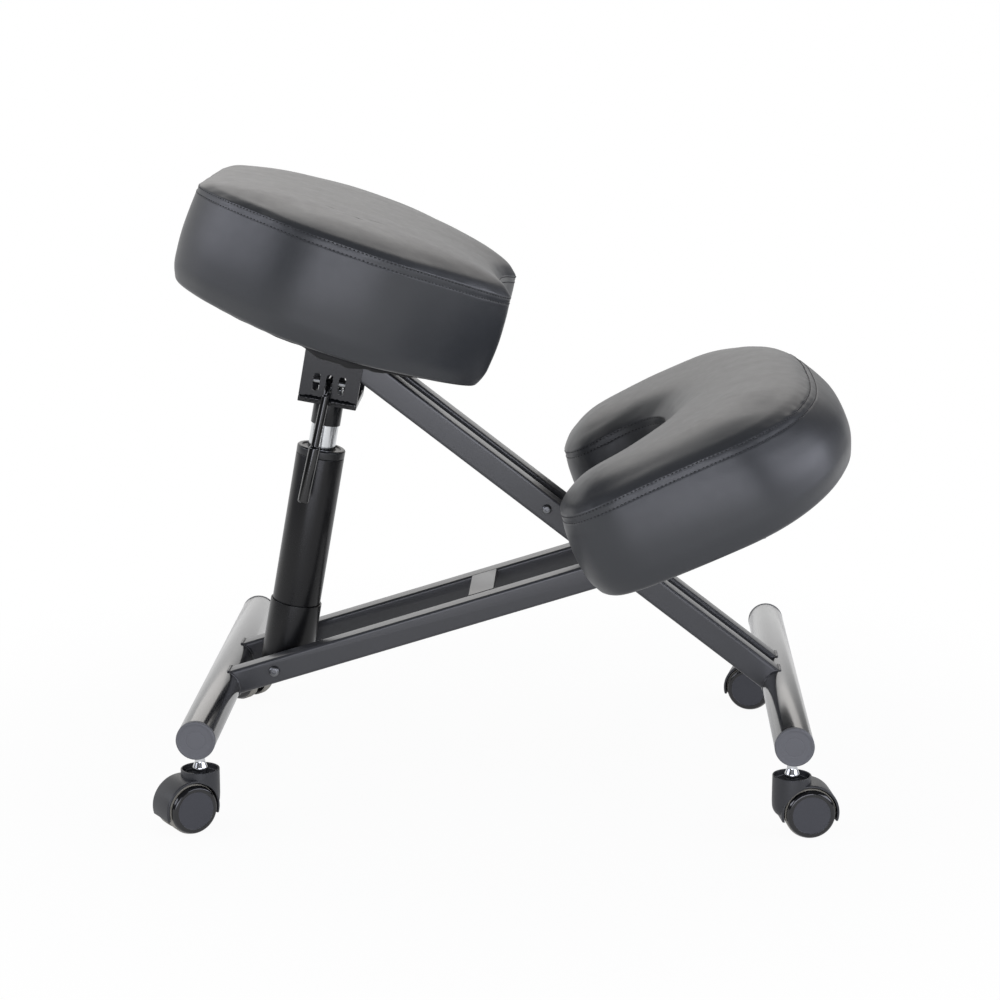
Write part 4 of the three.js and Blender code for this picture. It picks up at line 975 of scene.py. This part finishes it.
def smooth_loop(points, count):
    """Closed curve through the points, sampled at even distances along it."""
    knots = [Vector(p) for p in points]
    total = len(knots)
    dense = []
    for i in range(total):
        p0, p1, p2, p3 = (knots[(i + k) % total] for k in (-1, 0, 1, 2))
        d1, d2, d3 = ((b - a).length ** 0.5 for a, b in ((p0, p1), (p1, p2), (p2, p3)))
        m1 = (p1 - p0) / d1 - (p2 - p0) / (d1 + d2) + (p2 - p1) / d2
        m2 = (p2 - p1) / d2 - (p3 - p1) / (d2 + d3) + (p3 - p2) / d3
        m1, m2 = m1 * d2, m2 * d2
        for t in (step / STEPS_PER_KNOT for step in range(STEPS_PER_KNOT)):
            dense.append(
                p1 * (2 * t ** 3 - 3 * t ** 2 + 1) + m1 * (t ** 3 - 2 * t ** 2 + t)
                + p2 * (-2 * t ** 3 + 3 * t ** 2) + m2 * (t ** 3 - t ** 2))
    dense.append(dense[0])
    reach = [0]
    for a, b in zip(dense, dense[1:]):
        reach.append(reach[-1] + (b - a).length)
    result, k = [], 0
    for i in range(count):
        target = reach[-1] * i / count
        while reach[k + 1] < target:
            k += 1
        share = (target - reach[k]) / (reach[k + 1] - reach[k])
        result.append(dense[k].lerp(dense[k + 1], share))
    return result


def nearest_on(line, point):
    """The spot on a broken line that lies nearest to a point."""
    best = line[0]
    for a, b in zip(line, line[1:]):
        share = max(0, min(1, (point - a).dot(b - a) / (b - a).length_squared))
        spot = a.lerp(b, share)
        if (spot - point).length < (best - point).length:
            best = spot
    return best


# Heights and distances in millimetres. A pad's rows run from the pocket round its board, up the flank to the
# seam, and over the top to the spine.
POCKET = 29.7
FREE_BELOW_SEAM = 11
BELOW_SEAM = (9, 7.5, 6.5, 3, 1)
INSIDE_SEAM = (0.8, 1.6, 3, 5, 8.5, 13, 18, 24)
TOP_ROWS = 10
LAST_ROW = 10.6
# the four rows of the pocket and the first six of the flank are glued to the board
GLUED_ROWS = 10
SWELL = 6
# rows counted from the seam, and how deep the thread and the seam pull them in
DENTS = {-3: 0.45, -1: 0.4, 0: 0.2}
STITCHED_ROWS = (-1, -3)


def smoothed(bm, vertices, times):
    for _ in range(times):
        bmesh.ops.smooth_vert(bm, verts=vertices, factor=0.5, use_axis_x=True, use_axis_y=True, use_axis_z=True)


class Pad:
    """A sewn pad: its outline, the line that its top closes on, and its rows from the board to the crown."""

    def __init__(self, shape):
        for key, value in shape.items():
            setattr(self, key, value)
        scale = Vector((self.length / 2, self.width / 2))
        outline = smooth_loop([Vector(p) * scale for p in mirrored(self.half)], self.samples)
        area = sum(a.x * b.y - b.x * a.y for a, b in zip(outline, outline[1:] + outline[:1]))
        self.outline = outline if area > 0 else list(reversed(outline))
        self.line = [Vector(p) * scale for p in self.spine + [(u, -w) for u, w in reversed(self.spine[:-1])]]
        self.sides = []
        for i in range(self.samples):
            along = (self.outline[(i + 1) % self.samples] - self.outline[i - 1]).normalized()
            self.sides.append(Vector((along.y, -along.x)))
        self.ends = [nearest_on(self.line, point) for point in self.outline]

    def rise(self, u):
        return self.arch * (1 - min(1, (2 * u / self.length) ** 2))

    def inset(self, distance, height, arched=0.0):
        """Row at a distance inside the outline. Towards the front the flank bellies out low down,
        its seam is drawn in, and the edge of the underside is drawn up a little."""
        level = min(1, max(0, height / self.thickness))
        free = max(0, min(1, (26 - distance) / 15))
        tuck = max(0, (level - 0.5) / 0.5)
        lean = self.front_belly * (1 - level) ** 0.7 - self.front_seam * tuck ** 2
        lift = self.front_lift * max(0, 1 - abs(height - 8) / 60) if distance < 22 else 0
        row = []
        for point, side in zip(self.outline, self.sides):
            spot = point - side * distance
            front = max(0, (2 * spot.x / self.length - 0.1) / 0.9) ** 1.6
            drawn = lift * front
            spot += side * front * free * lean
            row.append(Vector((spot.x, spot.y, height + arched * self.rise(spot.x) + drawn)))
        return row

    def over(self, share):
        """Row of the top, share 1 at the seam and 0 at the spine, with a full rounded shoulder."""
        row = []
        for seam, end in zip(self.inset(self.seam_inset, self.thickness), self.ends):
            spot = end.lerp(Vector((seam.x, seam.y)), share)
            forward = 2 * spot.x / self.length
            peak = self.crown + self.front_crown * forward + self.end_crown * forward ** 2
            lift = peak * (1 - share ** self.fullness)
            row.append(Vector((spot.x, spot.y, self.thickness + self.rise(spot.x) + lift)))
        return row

    def rows(self):
        seam, thick = self.seam_inset, self.thickness
        result = [
            self.inset(POCKET, 12.3), self.inset(POCKET, 6), self.inset(POCKET, 0.4), self.inset(28.5, -0.2)]
        flank = fillet(
            [(26, 0), (11, 0.5), (3.2, 16), (0, 0.5 * thick), (0.4 * seam, 0.82 * thick), (seam, thick)],
            [0, 12, 22, 40, 20, 0], 5)
        for distance, height in flank[:-1]:
            row = self.inset(distance, height, max(0, height / thick) ** 2)
            if row[0].z < thick - FREE_BELOW_SEAM:
                result.append(row)
        for below in BELOW_SEAM:
            share = 1 - below / thick
            result.append(self.inset(seam * (1 - below / 30), share * thick, share ** 2))
        self.seam_row = len(result)
        result.append(self.inset(seam, thick, 1))
        shares = [1 - distance / self.reach for distance in INSIDE_SEAM]
        shares += [shares[-1] * (1 - (k / LAST_ROW) ** 1.1) for k in range(1, TOP_ROWS + 1)]
        return result + [self.over(share) for share in shares]

    def mesh(self):
        bm = bmesh.new()
        rows = [[bm.verts.new(p) for p in row] for row in self.rows()]
        bridged(bm, rows, capped=False)
        for row in (rows[0], rows[-1]):
            edges = [bm.edges.get(pair) for pair in zip(row, row[1:] + row[:1])]
            bmesh.ops.triangle_fill(bm, use_beauty=True, edges=edges)
        smoothed(bm, [vertex for row in rows[self.seam_row + 7:] for vertex in row], 14)
        return finished(bm)


# taut coated cloth under light pressure
CLOTH = {
    "quality": 8, "use_pressure": True, "uniform_pressure_force": 3, "vertex_group_mass": "held",
    "shrink_min": 0.004, "tension_stiffness": 15, "compression_stiffness": 15, "shear_stiffness": 5,
    "bending_stiffness": 6, "air_damping": 6}
CLOTH_FRAMES = 20


def puffed(mesh, pinned, limits):
    """Lets the foam swell its cover a little: taut cloth under pressure, held at the seam and the board."""
    mesh.transform(Matrix.Scale(MM, 4))
    rest = [v.co.copy() for v in mesh.vertices]
    pad = bpy.data.objects.new("swelling", mesh)
    scene = bpy.context.scene
    scene.collection.objects.link(pad)
    group = pad.vertex_groups.new(name="held")
    for index, weight in enumerate(pinned):
        group.add([index], weight, "REPLACE")
    cloth = pad.modifiers.new("cover", "CLOTH")
    for setting, value in CLOTH.items():
        setattr(cloth.settings, setting, value)
    cloth.settings.effector_weights.gravity = 0
    cloth.point_cache.frame_start = 1
    cloth.point_cache.frame_end = CLOTH_FRAMES + 4
    for number in range(1, CLOTH_FRAMES + 1):
        scene.frame_set(number)
    graph = bpy.context.evaluated_depsgraph_get()
    swollen = bpy.data.meshes.new_from_object(pad.evaluated_get(graph))
    bpy.data.objects.remove(pad)
    scene.frame_set(1)
    for vertex, start, limit in zip(swollen.vertices, rest, limits):
        move = vertex.co - start
        if move.length > limit * MM:
            vertex.co = start + move.normalized() * limit * MM
    swollen.transform(Matrix.Scale(1 / MM, 4))
    return swollen


def subdivided(mesh, levels=1):
    piece = bpy.data.objects.new("finer", mesh)
    bpy.context.scene.collection.objects.link(piece)
    modifier = piece.modifiers.new("finer", "SUBSURF")
    modifier.levels = levels
    modifier.render_levels = levels
    graph = bpy.context.evaluated_depsgraph_get()
    finer = bpy.data.meshes.new_from_object(piece.evaluated_get(graph))
    bpy.data.objects.remove(piece)
    return finer


def ironed(mesh, pad):
    """Smooths the middle of the top, where the rows close on the spine."""
    margin = 24
    bm = bmesh.new()
    bm.from_mesh(mesh)
    smoothed(bm, [
        vertex for vertex in bm.verts
        if vertex.co.z > pad.thickness and (nearest_on(pad.line, vertex.co.xy) - vertex.co.xy).length < margin], 40)
    bm.to_mesh(mesh)
    bm.free()
    return mesh


def stitched(path, normals, pitch):
    """A row of thread stitches laid along a closed path, each a small sunken bar."""
    length, radius, ahead = 0.62 * pitch, 0.6, 0.3
    bm = bmesh.new()
    reach = [0]
    for start, end in zip(path, path[1:] + path[:1]):
        reach.append(reach[-1] + (end - start).length)
    total = int(reach[-1] // pitch)
    pitch = reach[-1] / total
    k = 0

    def at(distance):
        nonlocal k
        distance %= reach[-1]
        if distance < reach[k]:
            k = 0
        while reach[k + 1] < distance:
            k += 1
        share = (distance - reach[k]) / (reach[k + 1] - reach[k])
        here, following = k % len(path), (k + 1) % len(path)
        return path[here].lerp(path[following], share), normals[here].lerp(normals[following], share).normalized()

    for number in range(total):
        rings = []
        for t in (-0.5, -0.42, -0.2, 0.2, 0.42, 0.5):
            distance = (number + 0.5) * pitch + t * length
            spot, up = at(distance)
            along = (at(distance + ahead)[0] - spot).normalized()
            size = radius * math.sqrt(max(0.05, 1 - (2 * t) ** 4))
            sunk = spot + up * (0.3 - 0.6 * (2 * t) ** 4) * radius
            rings.append(ring(bm, sunk, size, along.cross(up).normalized(), up, 6))
        bridged(bm, rings)
    return finished(bm)


def ripple(spot, seed, size):
    """Smooth value from -1 to 1 that changes over about size millimetres."""
    return noise.noise(Vector((spot.x, spot.y, spot.z)) / size + Vector((seed, 0, 0)))


def hold(row, seam):
    """How firmly the cloth is held at a row: fully at the board and the seam, loosely on the top."""
    near = abs(row - seam)
    if row < GLUED_ROWS or near < 3:
        return 1.0
    if near < 6:
        return 0.75
    return 0.4 if row < seam else 0.16


def sewn_pad(pad, label, matrix, body, node):
    """Builds a pad, swells it, presses in its seam and lays two rows of stitches below it."""
    mesh = pad.mesh()
    count, seam = pad.samples, pad.seam_row
    total = len(mesh.vertices) // count
    held = [hold(row, seam) for row in range(total) for _ in range(count)]
    limits = [SWELL * min(1, abs(row - seam) / 12) for row in range(total) for _ in range(count)]
    mesh = puffed(mesh, held, limits)
    mesh.update()
    normals = [v.normal.copy() for v in mesh.vertices]
    rest = [v.co.copy() for v in mesh.vertices]
    for row in range(GLUED_ROWS, total):
        gather = max(0, 1 - abs(row - seam) / 7)
        for i in range(row * count, row * count + count):
            spot = rest[i]
            pucker = 0.6 * gather * ripple(spot, 3, 13) + 0.5 * gather * ripple(spot, 9, 6)
            fold = 0.5 * ripple(Vector((spot.x * 0.35, spot.y, spot.z)), 17, 26) if row > seam + 6 else 0
            mesh.vertices[i].co = spot + normals[i] * (pucker + fold - DENTS.get(row - seam, 0))
    paths = []
    for row in STITCHED_ROWS:
        own = slice((seam + row) * count, (seam + row + 1) * count)
        paths.append(([vertex.co.copy() for vertex in mesh.vertices[own]], normals[own]))
    cover = add_piece(
        f"{label}_cover", ironed(subdivided(mesh, 2), pad), matrix, body, "cover", node, crease=80)
    rows = merged(*(stitched(path, ups, sizes().stitch / MM) for path, ups in paths))
    add_piece(f"{label}_stitching", rows, matrix, body, "thread", crease=80)


# Half outline and spine as shares of the half length and width, sizes in millimetres. The crown rises by
# front_crown more towards the front and by end_crown more towards both ends; fullness is how square its
# shoulder is; reach is how far the seam lies from the spine.
SEAT_PAD = {
    "half": SEAT_HALF, "spine": SEAT_SPINE, "length": 331, "width": 385, "thickness": 98, "seam_inset": 3,
    "arch": 9, "crown": 15.5, "front_crown": 4, "end_crown": 8, "fullness": 6.0, "reach": 150,
    "front_lift": 0, "front_belly": 4, "front_seam": 0, "samples": 200}
KNEE_PAD = {
    "half": KNEE_HALF, "spine": KNEE_SPINE, "length": 292, "width": 494, "thickness": 87, "seam_inset": 6,
    "arch": 10, "crown": 21.5, "front_crown": 5, "end_crown": 3, "fullness": 3.0, "reach": 76,
    "front_lift": 12, "front_belly": 11, "front_seam": 9, "samples": 280}
# section of the lining's edge: outward distance, and height as a share of how far it sags, or where None at
# the top of the strip
HEM_SECTION = ((0, None), (1.2, 0.35), (0.6, 0.8), (-1.4, 1), (-3.2, 0.8), (-3.6, None))
# the hem sags deepest beside the bracket, where its near-black cloth widens into a painted shadow band under the seat
HEM = {"inside": 25, "top": 0.8, "least": 2.2, "shadow_sag_middle": 52, "shadow_sag_half": 58}


class CHAIR_OT_seat_pad(Operator):
    """Makes the seat pad with its seam and stitching, and finishes its board and screws"""
    bl_idname = "chair.seat_pad"
    bl_label = "Seat pad"

    def execute(self, context):
        pad = Pad(SEAT_PAD)
        sewn_pad(pad, "seat", SEAT_FRAME, "seat", "seat_cushion")
        dress("lining", "seat_board")
        self.hem(pad)
        dress("zinc", *numbered("seat_screw"))
        return {"FINISHED"}

    def hem(self, pad):
        """Turned-in edge of the lining, which sags in small waves, most of all beside the bracket, where its near-black
        cloth is a painted shadow under the seat.
        """
        bm = bmesh.new()
        rings = []
        for point, side in zip(pad.outline, pad.sides):
            spot = point - side * HEM["inside"]
            slack = math.sqrt(max(0, 1 - ((spot.x - HEM["shadow_sag_middle"]) / HEM["shadow_sag_half"]) ** 2)) * side.y ** 2
            wave = 1.6 * math.sin(0.17 * spot.x + 0.11 * spot.y) + math.sin(0.41 * spot.x + 0.2 * spot.y)
            sag = HEM["least"] + (8.6 - 0.05 * spot.x) * slack + (0.2 + 0.6 * slack) * wave
            rings.append([
                bm.verts.new((*(spot + side * out), HEM["top"] if share is None else -share * sag))
                for out, share in HEM_SECTION])
        bridged(bm, rings, closed=True)
        # near-black cloth: painted shadow under the seat, beside the bracket
        add_piece("seat_hem_painted_shadow", subdivided(finished(bm)), SEAT_FRAME, "seat", "piping", crease=80)


class CHAIR_OT_knee_pad(Operator):
    """Makes the horseshoe knee pad, and finishes its board, bracket and screws"""
    bl_idname = "chair.knee_pad"
    bl_label = "Knee pad"

    def execute(self, context):
        sewn_pad(Pad(KNEE_PAD), "knee", KNEE_FRAME, "lower_frame", "knee_cushion")
        dress("lining", "knee_board")
        dress("paint", "knee_bracket")
        dress("zinc", *numbered("knee_screw"))
        return {"FINISHED"}


STEPS = (
    CHAIR_OT_stage, CHAIR_OT_base_tubes, CHAIR_OT_rails, CHAIR_OT_gas_spring, CHAIR_OT_bracket, CHAIR_OT_bolts,
    CHAIR_OT_casters, CHAIR_OT_seat_pad, CHAIR_OT_knee_pad)


class CHAIR_PT_panel(Panel):
    """Lists the chair's sizes, colours and steps"""
    bl_idname = "CHAIR_PT_panel"
    bl_label = "Kneeling chair"
    bl_space_type = "VIEW_3D"
    bl_region_type = "UI"
    bl_category = "Chair"

    def draw(self, context):
        for group in (context.scene.chair_sizes, context.scene.chair_colours, context.scene.chair_stage):
            box = self.layout.box()
            for name in group.__annotations__:
                box.prop(group, name)
        for step in STEPS:
            self.layout.operator(step.bl_idname)


CLASSES = (ChairSizes, ChairColours, StageSettings) + STEPS + (CHAIR_PT_panel,)


def register():
    for one in CLASSES:
        bpy.utils.register_class(one)
    bpy.types.Scene.chair_sizes = PointerProperty(type=ChairSizes)
    bpy.types.Scene.chair_colours = PointerProperty(type=ChairColours)
    bpy.types.Scene.chair_stage = PointerProperty(type=StageSettings)


def unregister():
    del bpy.types.Scene.chair_stage
    del bpy.types.Scene.chair_colours
    del bpy.types.Scene.chair_sizes
    for one in reversed(CLASSES):
        bpy.utils.unregister_class(one)


def main():
    register()
    for step in STEPS:
        group, name = step.bl_idname.split(".")
        getattr(getattr(bpy.ops, group), name)()


if __name__ == "__main__":
    main()
